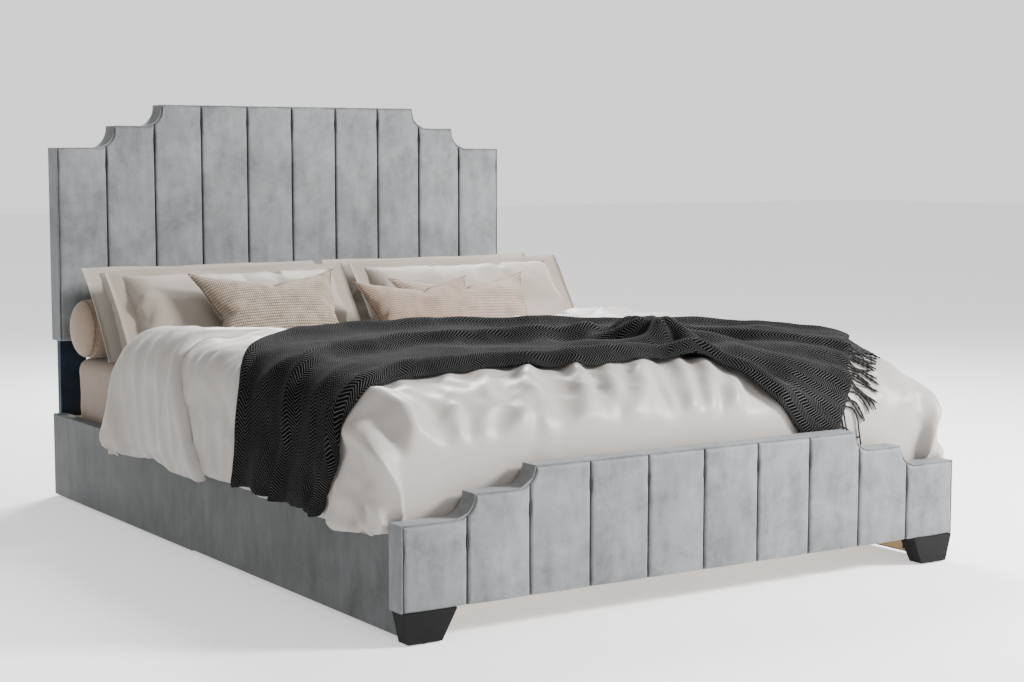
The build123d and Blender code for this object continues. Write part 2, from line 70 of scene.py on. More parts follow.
def set_verts(ob, co):
    ob.data.vertices.foreach_set("co", np.asarray(co, dtype=float).ravel())
    ob.data.update()


def apply_modifiers(ob):
    deps = bpy.context.evaluated_depsgraph_get()
    me = bpy.data.meshes.new_from_object(ob.evaluated_get(deps))
    old = ob.data
    ob.modifiers.clear()
    ob.data = me
    bpy.data.meshes.remove(old)
    me.name = ob.name
    return ob


def subdivide(ob, levels=1):
    mod = ob.modifiers.new("soft", "SUBSURF")
    mod.levels = levels
    mod.render_levels = levels
    return apply_modifiers(ob)


def smoothstep(a, b, x):
    t = np.clip((np.asarray(x, dtype=float) - a) / (b - a), 0, 1)
    return t * t * (3 - 2 * t)


def fractal(points, scale, octaves=3, shift=0.0):
    """Smooth noise of each point, about -1 to 1."""
    out = np.empty(len(points))
    for i, p in enumerate(points):
        q = Vector((p[0] * scale + shift, p[1] * scale - shift, p[2] * scale + 2 * shift))
        out[i] = noise.fractal(q, 1.0, 2.0, octaves)
    return out


def tree_of(ob):
    me = ob.data
    faces = [tuple(p.vertices) for p in me.polygons]
    return BVHTree.FromPolygons([v.co.copy() for v in me.vertices], faces)


def declare(ob, body, node=None, slot=None):
    if node:
        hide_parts(*([node] if isinstance(node, str) else node))
    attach(ob, body)
    return ob


# ---------------------------------------------------------------- materials
class Mat:
    """A principled material and a few helpers for building its pattern."""

    def __init__(self, name, color, rough=0.8, sheen=0.0, sheen_tint=(1, 1, 1), spec=0.3, metallic=0.0):
        self.mat = bpy.data.materials.new(name)
        self.mat.use_nodes = True
        self.nodes = self.mat.node_tree.nodes
        self.links = self.mat.node_tree.links
        self.bsdf = self.nodes["Principled BSDF"]
        self.put("Base Color", (*color, 1))
        self.put("Roughness", rough)
        self.put("Sheen Weight", sheen)
        self.put("Sheen Roughness", 0.4)
        self.put("Sheen Tint", (*sheen_tint, 1))
        self.put("Specular IOR Level", spec)
        self.put("Metallic", metallic)
        self.space = self.nodes.new("ShaderNodeTexCoord").outputs["Object"]
        self.height = None

    def put(self, socket, value):
        self.bsdf.inputs[socket].default_value = value

    def link(self, a, b):
        self.links.new(a, b)

    def math(self, op, a, b=None):
        n = self.nodes.new("ShaderNodeMath")
        n.operation = op
        for i, v in enumerate((a, b)):
            if v is None:
                continue
            if isinstance(v, (int, float)):
                n.inputs[i].default_value = v
            else:
                self.link(v, n.inputs[i])
        return n.outputs[0]

    def uv(self, stretch=(1, 1, 1)):
        n = self.nodes.new("ShaderNodeUVMap")
        n.uv_map = "Cloth"
        return self.mapped(n.outputs["UV"], stretch)

    def mapped(self, source, stretch):
        m = self.nodes.new("ShaderNodeMapping")
        m.inputs["Scale"].default_value = stretch
        self.link(source, m.inputs["Vector"])
        return m.outputs[0]

    def split(self, vector):
        n = self.nodes.new("ShaderNodeSeparateXYZ")
        self.link(vector, n.inputs[0])
        return n.outputs[0], n.outputs[1], n.outputs[2]

    def noise(self, scale, detail=3.0, rough=0.55, source=None, distortion=0.0):
        n = self.nodes.new("ShaderNodeTexNoise")
        n.inputs["Scale"].default_value = scale
        n.inputs["Detail"].default_value = detail
        n.inputs["Roughness"].default_value = rough
        n.inputs["Distortion"].default_value = distortion
        self.link(source or self.space, n.inputs["Vector"])
        return n.outputs["Fac"]

    def ramp(self, fac, stops):
        n = self.nodes.new("ShaderNodeValToRGB")
        el = n.color_ramp.elements
        while len(el) < len(stops):
            el.new(0.5)
        for e, (pos, color) in zip(el, stops):
            e.position = pos
            e.color = (*color, 1)
        self.link(fac, n.inputs["Fac"])
        return n.outputs["Color"]

    def mix(self, fac, a, b, mode="MIX"):
        n = self.nodes.new("ShaderNodeMix")
        n.data_type = "RGBA"
        n.blend_type = mode
        for socket, v in (("Factor", fac), ("A", a), ("B", b)):
            fits = [s for s in n.inputs if s.name == socket]
            target = next(s for s in fits if s.type == "RGBA" or socket == "Factor")
            if isinstance(v, (int, float)):
                target.default_value = v
            elif isinstance(v, tuple):
                target.default_value = (*v, 1)
            else:
                self.link(v, target)
        return [o for o in n.outputs if o.type == "RGBA"][0]

    def color(self, out):
        self.link(out, self.bsdf.inputs["Base Color"])

    def rough(self, fac, low, high):
        n = self.nodes.new("ShaderNodeMapRange")
        n.inputs["To Min"].default_value = low
        n.inputs["To Max"].default_value = high
        self.link(fac, n.inputs["Value"])
        self.link(n.outputs[0], self.bsdf.inputs["Roughness"])

    def bump(self, out, strength, distance=0.001):
        n = self.nodes.new("ShaderNodeBump")
        n.inputs["Strength"].default_value = strength
        n.inputs["Distance"].default_value = distance
        self.link(out, n.inputs["Height"])
        if self.height is not None:
            self.link(self.height, n.inputs["Normal"])
        self.height = n.outputs["Normal"]
        self.link(self.height, self.bsdf.inputs["Normal"])


def shade(color, k):
    return tuple(min(1.0, c * k) for c in color)


def velvet(name, color, sheen=0.3):
    """Crushed short-pile velvet: cloudy patches where the nap lies differently, and a fine pile."""
    contrast, rough = 0.34, 0.6
    m = Mat(name, color, rough=rough, sheen=sheen, sheen_tint=(0.86, 0.9, 0.95), spec=0.25)
    big = m.noise(6.5, 6.0, 0.68, distortion=0.5)
    small = m.noise(38.0, 4.0, 0.65)
    streak = m.noise(16.0, 3.0, 0.6, source=m.mapped(m.space, (1.6, 1.6, 0.45)))
    patch = m.math("ADD", m.math("MULTIPLY", big, 0.5), m.math("MULTIPLY", small, 0.22))
    patch = m.math("ADD", patch, m.math("MULTIPLY", streak, 0.28))
    tone = m.ramp(
        patch,
        [(0.38, shade(color, 1 - contrast)), (0.5, color), (0.62, shade(color, 1 + contrast))],
    )
    pile = m.noise(900.0, 2.0, 0.7)
    nap = m.ramp(pile, [(0.3, (0.25, 0.26, 0.27)), (0.7, (0.9, 0.92, 0.94))])
    m.color(m.mix(0.18, tone, nap, "OVERLAY"))
    m.rough(small, rough - 0.12, rough + 0.12)
    m.bump(big, 0.12, 0.004)
    m.bump(small, 0.15, 0.0012)
    m.bump(pile, 0.25, 0.0004)
    return m.mat


def wood(name, color, along=(1, 12, 12)):
    m = Mat(name, color, rough=0.6, spec=0.35)
    grain = m.noise(3.0, 6.0, 0.62, source=m.mapped(m.space, along), distortion=1.2)
    fine = m.noise(26.0, 4.0, 0.7, source=m.mapped(m.space, along))
    tone = m.ramp(grain, [(0.3, shade(color, 0.66)), (0.5, color), (0.7, shade(color, 1.25))])
    tone = m.mix(0.35, tone, m.ramp(fine, [(0.35, shade(color, 0.6)), (0.65, shade(color, 1.2))]))
    m.color(tone)
    m.rough(fine, 0.5, 0.75)
    m.bump(fine, 0.25, 0.0006)
    return m.mat


def lacquer(name, color, rough):
    m = Mat(name, color, rough=rough, spec=0.16)
    cloud = m.noise(14.0, 4.0)
    m.color(m.ramp(cloud, [(0.35, shade(color, 0.75)), (0.65, shade(color, 1.35))]))
    grain = m.noise(60.0, 4.0, 0.7, source=m.mapped(m.space, (6, 6, 0.8)))
    m.rough(grain, rough - 0.08, rough + 0.15)
    m.bump(grain, 0.12, 0.0005)
    return m.mat


def metal(name, color, rough, metallic=1.0):
    m = Mat(name, color, rough=rough, metallic=metallic, spec=0.5)
    cloud = m.noise(60.0, 4.0)
    m.color(m.ramp(cloud, [(0.3, shade(color, 0.8)), (0.7, shade(color, 1.12))]))
    scratch = m.noise(220.0, 3.0, 0.7, source=m.mapped(m.space, (1, 8, 1)))
    m.rough(scratch, rough - 0.08, rough + 0.14)
    m.bump(scratch, 0.08, 0.0002)
    return m.mat


def weave_height(m, u, v, per_metre):
    """Plain weave: threads over and under, from cloth coordinates."""
    a = m.math("SINE", m.math("MULTIPLY", u, per_metre * math.pi))
    b = m.math("SINE", m.math("MULTIPLY", v, per_metre * math.pi))
    return m.math("MULTIPLY", a, b)


def linen(name, color, threads, slub):
    """Plain woven cloth with uneven threads both ways."""
    rough, cloud, bump = 0.85, 0.08, 0.35
    m = Mat(name, color, rough=rough, sheen=0.15, spec=0.2)
    u, v, _ = m.split(m.uv())
    soft = m.noise(7.0, 4.0)
    slub_u = m.noise(1.0, 3.0, 0.6, source=m.uv((30, threads * 0.5, 1)))
    slub_v = m.noise(1.0, 3.0, 0.6, source=m.uv((threads * 0.5, 30, 1)))
    threads_mix = m.math("ADD", m.math("MULTIPLY", slub_u, 0.5), m.math("MULTIPLY", slub_v, 0.5))
    tone = m.ramp(soft, [(0.3, shade(color, 1 - cloud)), (0.7, shade(color, 1 + cloud))])
    fine = m.ramp(threads_mix, [(0.35, shade(color, 1 - slub)), (0.65, shade(color, 1 + slub))])
    m.color(m.mix(0.5, tone, fine))
    m.rough(threads_mix, rough - 0.05, min(1.0, rough + 0.08))
    m.bump(weave_height(m, u, v, threads), bump * 0.5, 0.0003)
    m.bump(threads_mix, bump, 0.0006)
    return m.mat


def dotted(name, color, dark, pitch_u, pitch_v, rows=False):
    """Thick woven cushion cloth: raised tufts in rows, with painted shade darkening the hollows between
    them.
    """
    m = Mat(name, color, rough=0.9, sheen=0.2, spec=0.15)
    u, v, _ = m.split(m.uv())
    row = m.math("FLOOR", m.math("DIVIDE", v, pitch_v))
    shift = m.math("MULTIPLY", row, math.pi * (0 if rows else 1))
    a = m.math("SINE", m.math("ADD", m.math("MULTIPLY", u, 2 * math.pi / pitch_u), shift))
    b = m.math("SINE", m.math("MULTIPLY", v, math.pi / pitch_v))
    tuft = m.math("MULTIPLY", m.math("ABSOLUTE", a), m.math("ABSOLUTE", b))
    wool = m.noise(300.0, 3.0, 0.7)
    uneven = m.noise(24.0, 4.0, 0.6)
    height = m.math("ADD", tuft, m.math("MULTIPLY", wool, 0.5))
    # the colour follows the tufts' height, darkest in the hollows: painted shade
    stops = [(0.22, dark), (0.62, color), (0.95, shade(color, 1.16))]
    tone = m.ramp(m.math("MULTIPLY", height, 0.8), stops)
    worn = m.ramp(uneven, [(0.35, shade(dark, 1.1)), (0.65, shade(color, 1.1))])
    m.color(m.mix(0.3, tone, worn))
    m.bump(height, 0.8, 0.0022)
    return m.mat


def herringbone(name, dark, light, bands, per_metre):
    """Twill in columns that lean left and right in turn, light weft over a black warp."""
    m = Mat(name, dark, rough=0.95, sheen=0.0, spec=0.06)
    u, v, _ = m.split(m.uv())
    zig = m.math("PINGPONG", v, bands)
    wander = m.math("MULTIPLY", m.noise(70.0, 2.0), 0.004)
    run = m.math("ADD", m.math("ADD", u, m.math("MULTIPLY", zig, 0.9)), wander)
    line = m.math("FRACT", m.math("MULTIPLY", run, per_metre))
    line = m.math("ABSOLUTE", m.math("SUBTRACT", line, 0.5))
    thread = m.noise(420.0, 3.0, 0.75)
    worn = m.noise(9.0, 3.0)
    face = m.math("ADD", m.math("MULTIPLY", line, 1.6), m.math("MULTIPLY", thread, 0.32))
    face = m.math("ADD", face, m.math("MULTIPLY", m.math("SUBTRACT", worn, 0.5), 0.25))
    m.color(m.ramp(face, [(0.66, dark), (0.84, shade(light, 0.45)), (1.0, light)]))
    m.bump(face, 0.7, 0.0014)
    return m.mat


def sateen(name, color, rough):
    """Smooth close-woven bed linen with a soft sheen."""
    patch = 0.05
    m = Mat(name, color, rough=rough, sheen=0.25, spec=0.35)
    soft = m.noise(4.0, 4.0, 0.55)
    thread = m.noise(1.0, 2.0, 0.6, source=m.uv((1400, 260, 1)))
    tone = m.ramp(soft, [(0.3, shade(color, 1 - patch)), (0.7, shade(color, 1 + patch))])
    m.color(m.mix(0.25, tone, m.ramp(thread, [(0.3, shade(color, 0.9)), (0.7, shade(color, 1.07))])))
    m.rough(soft, rough - 0.07, rough + 0.08)
    m.bump(thread, 0.12, 0.0003)
    m.bump(m.noise(26.0, 4.0, 0.6), 0.12, 0.002)
    return m.mat


VELVET = velvet("velvet", (0.140, 0.145, 0.148))
# a darker copy of the same velvet for the side faces, edge bands, welt and inner lining: painted shade,
# as these faces take less light
VELVET_SHADED_SIDE = velvet("velvet_side_painted_shade", (0.120, 0.125, 0.127))
# a still darker copy of the same velvet, with less sheen, for the side rails: painted shade for the
# bed's shaded side
RAIL_VELVET_SHADED = velvet("velvet_rail", (0.070, 0.074, 0.074), sheen=0.12)
# near-black velvet for strips set deep in the seam grooves: painted shade, standing in for the shadow
# inside each fold
SEAM_SHADE = velvet("velvet_seam_painted_shade", (0.02, 0.021, 0.023))
BLACK = lacquer("foot_black", (0.003, 0.003, 0.0035), 0.6)
NAVY = lacquer("post_navy", (0.012, 0.02, 0.034), 0.45)
PINE = wood("pine", (0.56, 0.40, 0.22))
PINE_LONG = wood("pine_long", (0.54, 0.38, 0.21), along=(12, 1, 12))
PLY = wood("plywood", (0.50, 0.36, 0.21), along=(1, 10, 10))
DUST = linen("dust_cloth", (0.03, 0.03, 0.033), threads=500, slub=0.3)
BLACK_STEEL = metal("black_steel", (0.022, 0.022, 0.024), 0.42, metallic=0.35)
ZINC = metal("zinc_steel", (0.58, 0.58, 0.57), 0.33)
PLASTIC = lacquer("glide_plastic", (0.10, 0.10, 0.10), 0.6)
SHEET_MAT = sateen("sheet_cotton", (0.235, 0.175, 0.135), 0.68)
BOLSTER_MAT = sateen("bolster_cotton", (0.255, 0.19, 0.14), 0.66)
PILLOW_MAT = sateen("pillow_sateen", (0.35, 0.315, 0.275), 0.55)
SHAM_MAT = sateen("sham_sateen", (0.27, 0.235, 0.195), 0.52)
DUVET_MAT = sateen("duvet_sateen", (0.35, 0.322, 0.30), 0.46)
TICKING = linen("mattress_ticking", (0.74, 0.72, 0.68), threads=400, slub=0.1)
# the cushion cloths: colour of the tufts, the painted shade of the hollows between them, then the tufts'
# pitch both ways
OAT = dotted("cushion_oatmeal_cloth", (0.38, 0.31, 0.24), (0.06, 0.042, 0.028), 0.0125, 0.0085)
RIBBED = dotted("cushion_ribbed_cloth", (0.37, 0.275, 0.215), (0.13, 0.09, 0.065),
                0.011, 0.0075, rows=True)
PLAIN = dotted("cushion_plain_cloth", (0.40, 0.315, 0.255), (0.17, 0.125, 0.095), 0.012, 0.010)
THROW_MAT = herringbone("throw_wool", (0.0014, 0.0014, 0.0017), (0.085, 0.085, 0.083), 0.021, 118)
YARN = linen("throw_yarn", (0.012, 0.012, 0.013), threads=900, slub=0.4)

# a name that ends in _ stands for every node that starts with it
NODE_MATERIALS = {
    # side faces, edge bands and inner lining get the darker copy of the velvet: painted shade
    VELVET_SHADED_SIDE: "headboard_edge_band footboard_edge_band footboard_inner_lining",
    # the side rails get the darkest copy of the velvet: painted shade
    RAIL_VELVET_SHADED: "rail_cover_",
    DUST: "headboard_back_cloth",
    PLY: "headboard_core footboard_core",
    PINE: "headboard_battens head_cross_rail slats",
    PINE_LONG: "side_rail_ slat_ledger_",
    NAVY: "headboard_post_",
    BLACK: "footboard_foot_",
    PLASTIC: "floor_glides",
    ZINC: "headboard_t_nuts post_bolts foot_hanger_bolts rail_joint_bolts bracket_bolts "
          "support_screws beam_splice_sleeve levelling_foot_",
    BLACK_STEEL: "bracket_foot_ bracket_head_ rail_joint_plate_ beam_hangers centre_beam_ support_leg_",
}
for mat, names in NODE_MATERIALS.items():
    for name in names.split():
        for node, ob in NODES.items():
            if node == name or (name.endswith("_") and node.startswith(name)):
                for s in ob.material_slots:
                    s.material = mat


# ---------------------------------------------------------------- tufted boards
def crest_of(node):
    """Height of the stepped top of a board at any x, read from its CAD solid."""
    tree = tree_of(NODES[node])
    low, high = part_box(node)
    y = (low[1] + high[1]) / 2

    def crest(x):
        hit = tree.ray_cast(Vector((x, y, high[2] + 1)), Vector((0, 0, -1)))[0]
        return hit[2] if hit is not None else low[2]

    return crest


def corner_xs(crest, left, right):
    """Where the outline drops sharply between two x values, so that columns can bunch there."""
    xs = np.linspace(left, right, 160)
    zs = np.array([crest(x) for x in xs])
    drop = np.abs(np.diff(zs)) / (xs[1] - xs[0])
    return [0.5 * (xs[i] + xs[i + 1]) for i in np.nonzero(drop > 1.2)[0]]


def channel(verts, faces, crest, left, right, base, front, back, seed):
    """One stuffed channel: a flat face that rolls over into the seams, top and foot."""
    roll, gap = 0.009, 0.0022
    width = right - left
    marks = [0.0, 0.0006, 0.0018, 0.0036, 0.006, 0.0095, 0.014]
    xs = [left + m for m in marks] + [right - m for m in marks]
    xs += list(np.linspace(left + 0.02, right - 0.02, 15))
    for x in corner_xs(crest, left + 0.001, right - 0.001):
        xs += [x + d for d in (-0.004, -0.0015, 0, 0.0015, 0.004)]
    xs = sorted({round(min(max(x, left), right), 5) for x in xs})
    top_at = [crest(min(max(x, left + 0.0012), right - 0.0012)) for x in xs]
    vs = [0, 0.0025, 0.006, 0.011, *np.linspace(0.03, 0.93, 26), 0.955, 0.97, 0.982, 0.991, 0.9965, 1]
    start = len(verts)
    for i, x in enumerate(xs):
        top = top_at[i]
        for v in vs:
            z = base + (top - base) * v
            from_top = top - z
            pinch = gap + 0.0032 * math.exp(-(((from_top - 0.055) / 0.022) ** 2))
            pinch += 0.0018 * math.exp(-(((z - base) / 0.02) ** 2))
            side = min(x - left, right - x)
            px = min(max(x, left + pinch), right - pinch) if side < 0.006 else x
            e = min(side, 0.9 * from_top + 0.0002, 0.9 * (z - base) + 0.0002)
            fall = 1 - min(1.0, e / roll)
            depth = roll * (1 - math.sqrt(max(0.0, 1 - fall * fall)))
            depth += 0.0035 * (abs(2 * (x - left) / width - 1)) ** 2
            q = Vector((x * 9, z * 7, seed * 3.1))
            depth += 0.0011 * noise.noise(q) + 0.0006 * noise.noise(q * 3.3)
            verts.append((px, front + max(depth, 0.0), z))
    n, k = len(vs), len(xs)
    for i in range(k - 1):
        for j in range(n - 1):
            a = start + i * n + j
            faces.append((a, a + n, a + n + 1, a + 1))
    rear = len(verts)
    for i, x in enumerate(xs):
        px = min(max(x, left + gap), right - gap)
        verts.append((px, back, base))
        verts.append((px, back, top_at[i]))
    for i in range(k - 1):
        f0, f1 = start + i * n, start + (i + 1) * n
        r0, r1 = rear + 2 * i, rear + 2 * (i + 1)
        faces.append((f0, r0, r1, f1))
        faces.append((f0 + n - 1, f1 + n - 1, r1 + 1, r0 + 1))
        faces.append((r0, r0 + 1, r1 + 1, r1))
    first = [start + j for j in range(n)]
    last = [start + (k - 1) * n + j for j in range(n)]
    faces.append(tuple(first[::-1]) + (rear, rear + 1))
    faces.append(tuple(last) + (rear + 2 * (k - 1) + 1, rear + 2 * (k - 1)))


CHANNELS = 10


def tufted_board(prefix, seed):
    """Ten padded channels, near-black strips of painted shade in the seams between them, and the welt
    round the top.
    """
    node = f"{prefix}_channels"
    low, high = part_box(node)
    core_low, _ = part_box(f"{prefix}_core")
    band_low, band_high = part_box(f"{prefix}_edge_band")
    crest = crest_of(f"{prefix}_core")
    half = band_high[0]
    pitch = 2 * half / CHANNELS
    verts, faces = [], []
    for i in range(CHANNELS):
        left = max(-half + i * pitch, low[0] + 0.0003)
        right = min(-half + (i + 1) * pitch, high[0] - 0.0003)
        back = core_low[1] - 0.0006
        channel(verts, faces, crest, left, right, low[2], low[1], back, seed + i)
    pads = mesh_object(f"{prefix}_channel_pads", verts, faces, VELVET)
    declare(pads, "bed_frame", node, "velvet_channels")

    # a near-black strip at the back of each seam groove: painted shade for the fold's shadow
    verts, faces = [], []
    for i in range(1, CHANNELS):
        x = -half + i * pitch
        top = min(crest(x - 0.003), crest(x + 0.003)) - 0.004
        w, y0, y1 = 0.0042, low[1] + 0.0075, core_low[1] - 0.0008
        k = len(verts)
        verts += [(x - w, y1, low[2] + 0.002), (x, y0, low[2] + 0.002), (x + w, y1, low[2] + 0.002)]
        verts += [(x - w, y1, top), (x, y0, top), (x + w, y1, top)]
        faces += [(k, k + 1, k + 4, k + 3), (k + 1, k + 2, k + 5, k + 4), (k + 2, k, k + 3, k + 5)]
        faces += [(k, k + 2, k + 1), (k + 3, k + 4, k + 5)]
    folds = mesh_object(f"{prefix}_seam_shade_strips", verts, faces, SEAM_SHADE, smooth=False)
    declare(folds, "bed_frame", slot="velvet_channels")

    outer = crest_of(f"{prefix}_edge_band")
    edge = half - 0.0015
    xs = sorted(set(np.round(np.linspace(-edge, edge, 60), 5)))
    for x in corner_xs(outer, -edge, edge):
        xs += [x + d for d in (-0.002, 0, 0.002)]
    xs = sorted(set(np.round(xs, 4)))
    y = band_low[1] - 0.0004
    path = [(-edge, y, low[2] + 0.001), (-edge, y, (low[2] + outer(-edge)) / 2)]
    path += [(x, y, outer(x) - 0.0012) for x in xs]
    path += [(edge, y, (low[2] + outer(edge)) / 2), (edge, y, low[2] + 0.001)]
    # the welt uses the darker copy of the velvet: painted shade
    tube(f"{prefix}_welt", path, 0.0021, VELVET_SHADED_SIDE, "bed_frame", "velvet_band")


def tube(name, path, radius, mat, body=None, slot=None, ring=8):
    """Round cord along a list of points, closed at its ends."""
    pts = [Vector(p) for p in path]
    verts, faces = [], []
    side = None
    for i, p in enumerate(pts):
        way = (pts[min(i + 1, len(pts) - 1)] - pts[max(i - 1, 0)]).normalized()
        if side is None:
            side = way.orthogonal().normalized()
        side = (side - way * side.dot(way)).normalized()
        up = way.cross(side)
        r = radius[i] if hasattr(radius, "__len__") else radius
        for k in range(ring):
            a = 2 * math.pi * k / ring
            verts.append(p + side * (r * math.cos(a)) + up * (r * math.sin(a)))
    for i in range(len(pts) - 1):
        for k in range(ring):
            a, b = i * ring + k, i * ring + (k + 1) % ring
            faces.append((a, b, b + ring, a + ring))
    faces.append(tuple(range(ring))[::-1])
    faces.append(tuple(range(len(verts) - ring, len(verts))))
    ob = mesh_object(name, verts, faces, mat)
    if body:
        declare(ob, body, slot=slot)
    return ob


tufted_board("headboard", 3)
tufted_board("footboard", 31)


# ---------------------------------------------------------------- mattress and fitted sheet
def rounded_outline(hx, hy, r, count):
    """Points and outward directions round a rectangle with rounded corners."""
    runs = [2 * (hx - r), 2 * (hy - r)]
    arc = r * math.pi / 2
    total = 2 * sum(runs) + 4 * arc
    corners = [(hx - r, hy - r, 0), (-hx + r, hy - r, 90),
               (-hx + r, -hy + r, 180), (hx - r, -hy + r, 270)]
    out = []
    for k in range(count):
        d = total * k / count
        for i, (cx, cy, a0) in enumerate(corners):
            run = runs[i % 2]
            if d <= arc:
                a = math.radians(a0) + d / r
                out.append((cx + r * math.cos(a), cy + r * math.sin(a), math.cos(a), math.sin(a)))
                break
            d -= arc
            if d <= run:
                a = math.radians(a0 + 90)
                nx, ny = math.cos(a), math.sin(a)
                out.append((cx + r * nx - ny * d, cy + r * ny + nx * d, nx, ny))
                break
            d -= run
    return np.array(out)


def onion(name, hx, hy, r, rings, cy, mat, closed=True, count=260, bulge=None):
    """Rings of a rounded outline joined from the middle of the top to the underside."""
    line = rounded_outline(hx, hy, r, count)
    verts = [(0, cy, rings[0][2])]
    for inset, shrink, z in rings:
        for x, y, nx, ny in line:
            verts.append(((x - nx * inset) * shrink, cy + (y - ny * inset) * shrink, z))
    faces = [(0, 1 + k, 1 + (k + 1) % count) for k in range(count)]
    for i in range(len(rings) - 1):
        a, b = 1 + i * count, 1 + (i + 1) * count
        for k in range(count):
            m = (k + 1) % count
            faces.append((a + k, b + k, b + m, a + m))
    if closed:
        verts.append((0, cy, rings[-1][2]))
        last = 1 + (len(rings) - 1) * count
        faces += [(len(verts) - 1, last + (k + 1) % count, last + k) for k in range(count)]
    if bulge:
        verts = bulge(np.array(verts))
    return mesh_object(name, verts, faces, mat)


def make_mattress():
    """The mattress with its quilting and piping, and the fitted sheet stretched over it."""
    low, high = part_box("mattress")
    hx, hy = (high[0] - low[0]) / 2 - 0.001, (high[1] - low[1]) / 2 - 0.001
    cy, top, bottom = (low[1] + high[1]) / 2, high[2], low[2]
    roll = [(0.034, 1, 0.0), (0.02, 1, 0.003), (0.009, 1, 0.009), (0.002, 1, 0.018), (0, 1, 0.03)]
    rings = [(0.034, s, top) for s in (0.03, 0.2, 0.4, 0.6, 0.75, 0.88, 0.96)]
    rings += [(i, s, top - d) for i, s, d in roll]
    rings += [(0.0, 1, z) for z in np.linspace(top - 0.045, bottom + 0.045, 9)]
    rings += [(i, s, bottom + d) for i, s, d in roll[::-1]]
    rings += [(0.034, s, bottom) for s in (0.96, 0.88, 0.6, 0.3, 0.03)]

    def quilt(v):
        side = (v[:, 2] < top - 0.03) & (v[:, 2] > bottom + 0.03)
        pattern = 0.0008 + 0.0008 * np.cos(v[:, 0] * 21) * np.cos(v[:, 1] * 21)
        v[:, 2] -= np.where(v[:, 2] > top - 0.001, pattern, 0)
        dent = 0.002 * (1 - np.abs(np.sin((v[:, 2] - bottom) * math.pi / 0.064))) ** 3
        v[:, 0] -= np.where(side, np.sign(v[:, 0]) * dent, 0)
        return v

    ob = onion("mattress_body", hx, hy, 0.06, rings, cy, TICKING, bulge=quilt)
    declare(ob, "mattress", "mattress", "mattress_ticking")
    line = rounded_outline(hx - 0.0095, hy - 0.0095, 0.055, 200)
    for tag, z in (("top", top - 0.011), ("bottom", bottom + 0.011)):
        path = [(x, cy + y, z) for x, y, _, _ in line]
        name = f"mattress_piping_{tag}"
        tube(name, path + [path[0]], 0.0024, TICKING, "mattress", "mattress_ticking")

    low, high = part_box("fitted_sheet")
    hx, hy = (high[0] - low[0]) / 2, (high[1] - low[1]) / 2
    top = high[2]
    rings = [(0.036, s, top) for s in (0.02, 0.15, 0.3, 0.45, 0.6, 0.72, 0.82, 0.9, 0.95, 0.98)]
    rings += [(i, s, top - d) for i, s, d in roll]
    rings += [(0.0, 1, z) for z in np.linspace(top - 0.04, bottom + 0.035, 22)]
    rings += [(0.003, 1, bottom + 0.018), (0.012, 1, bottom + 0.006), (0.03, 1, low[2] + 0.0004)]
    rings += [(0.05, 1, low[2] + 0.0004)]

    def ease(v):
        """Soft puckers down the sides, deepest by the corners, and a belly above the rails."""
        rise = (v[:, 2] - bottom) / (top - bottom)
        side = smoothstep(0.02, 0.25, rise) * smoothstep(1.0, 0.8, rise)
        along = np.where(np.abs(v[:, 0]) > hx - 0.04, v[:, 1], v[:, 0] + 7)
        q = np.column_stack([along * 2.2, v[:, 2] * 5 + along * 1.5, v[:, 0] * 0.2])
        wave = fractal(q, 2.2, 3, 1.7)
        tight = fractal(np.column_stack([along * 9, v[:, 2] * 7 - along * 6, v[:, 0] * 0]), 1.5, 2, 5.0)
        out = side * (0.0035 + 0.0035 * wave + 0.0012 * tight)
        grow = 1 + np.maximum(out, 0.0002) / hx
        v[:, 0] *= grow
        v[:, 1] = cy + (v[:, 1] - cy) * (1 + np.maximum(out, 0.0002) / hy)
        v[:, 2] += np.where(v[:, 2] > top - 0.001, 0.0004 * fractal(v, 6.0, 2) - 0.0004, 0)
        return v

    sheet = onion("fitted_sheet_cloth", hx - 0.0002, hy - 0.0002, 0.06, rings, cy, SHEET_MAT,
                  closed=False, count=420, bulge=ease)
    mod = sheet.modifiers.new("thickness", "SOLIDIFY")
    mod.thickness = 0.0009
    mod.offset = -1
    apply_modifiers(sheet)
    declare(sheet, "mattress", "fitted_sheet", "sheet_cotton")


make_mattress()


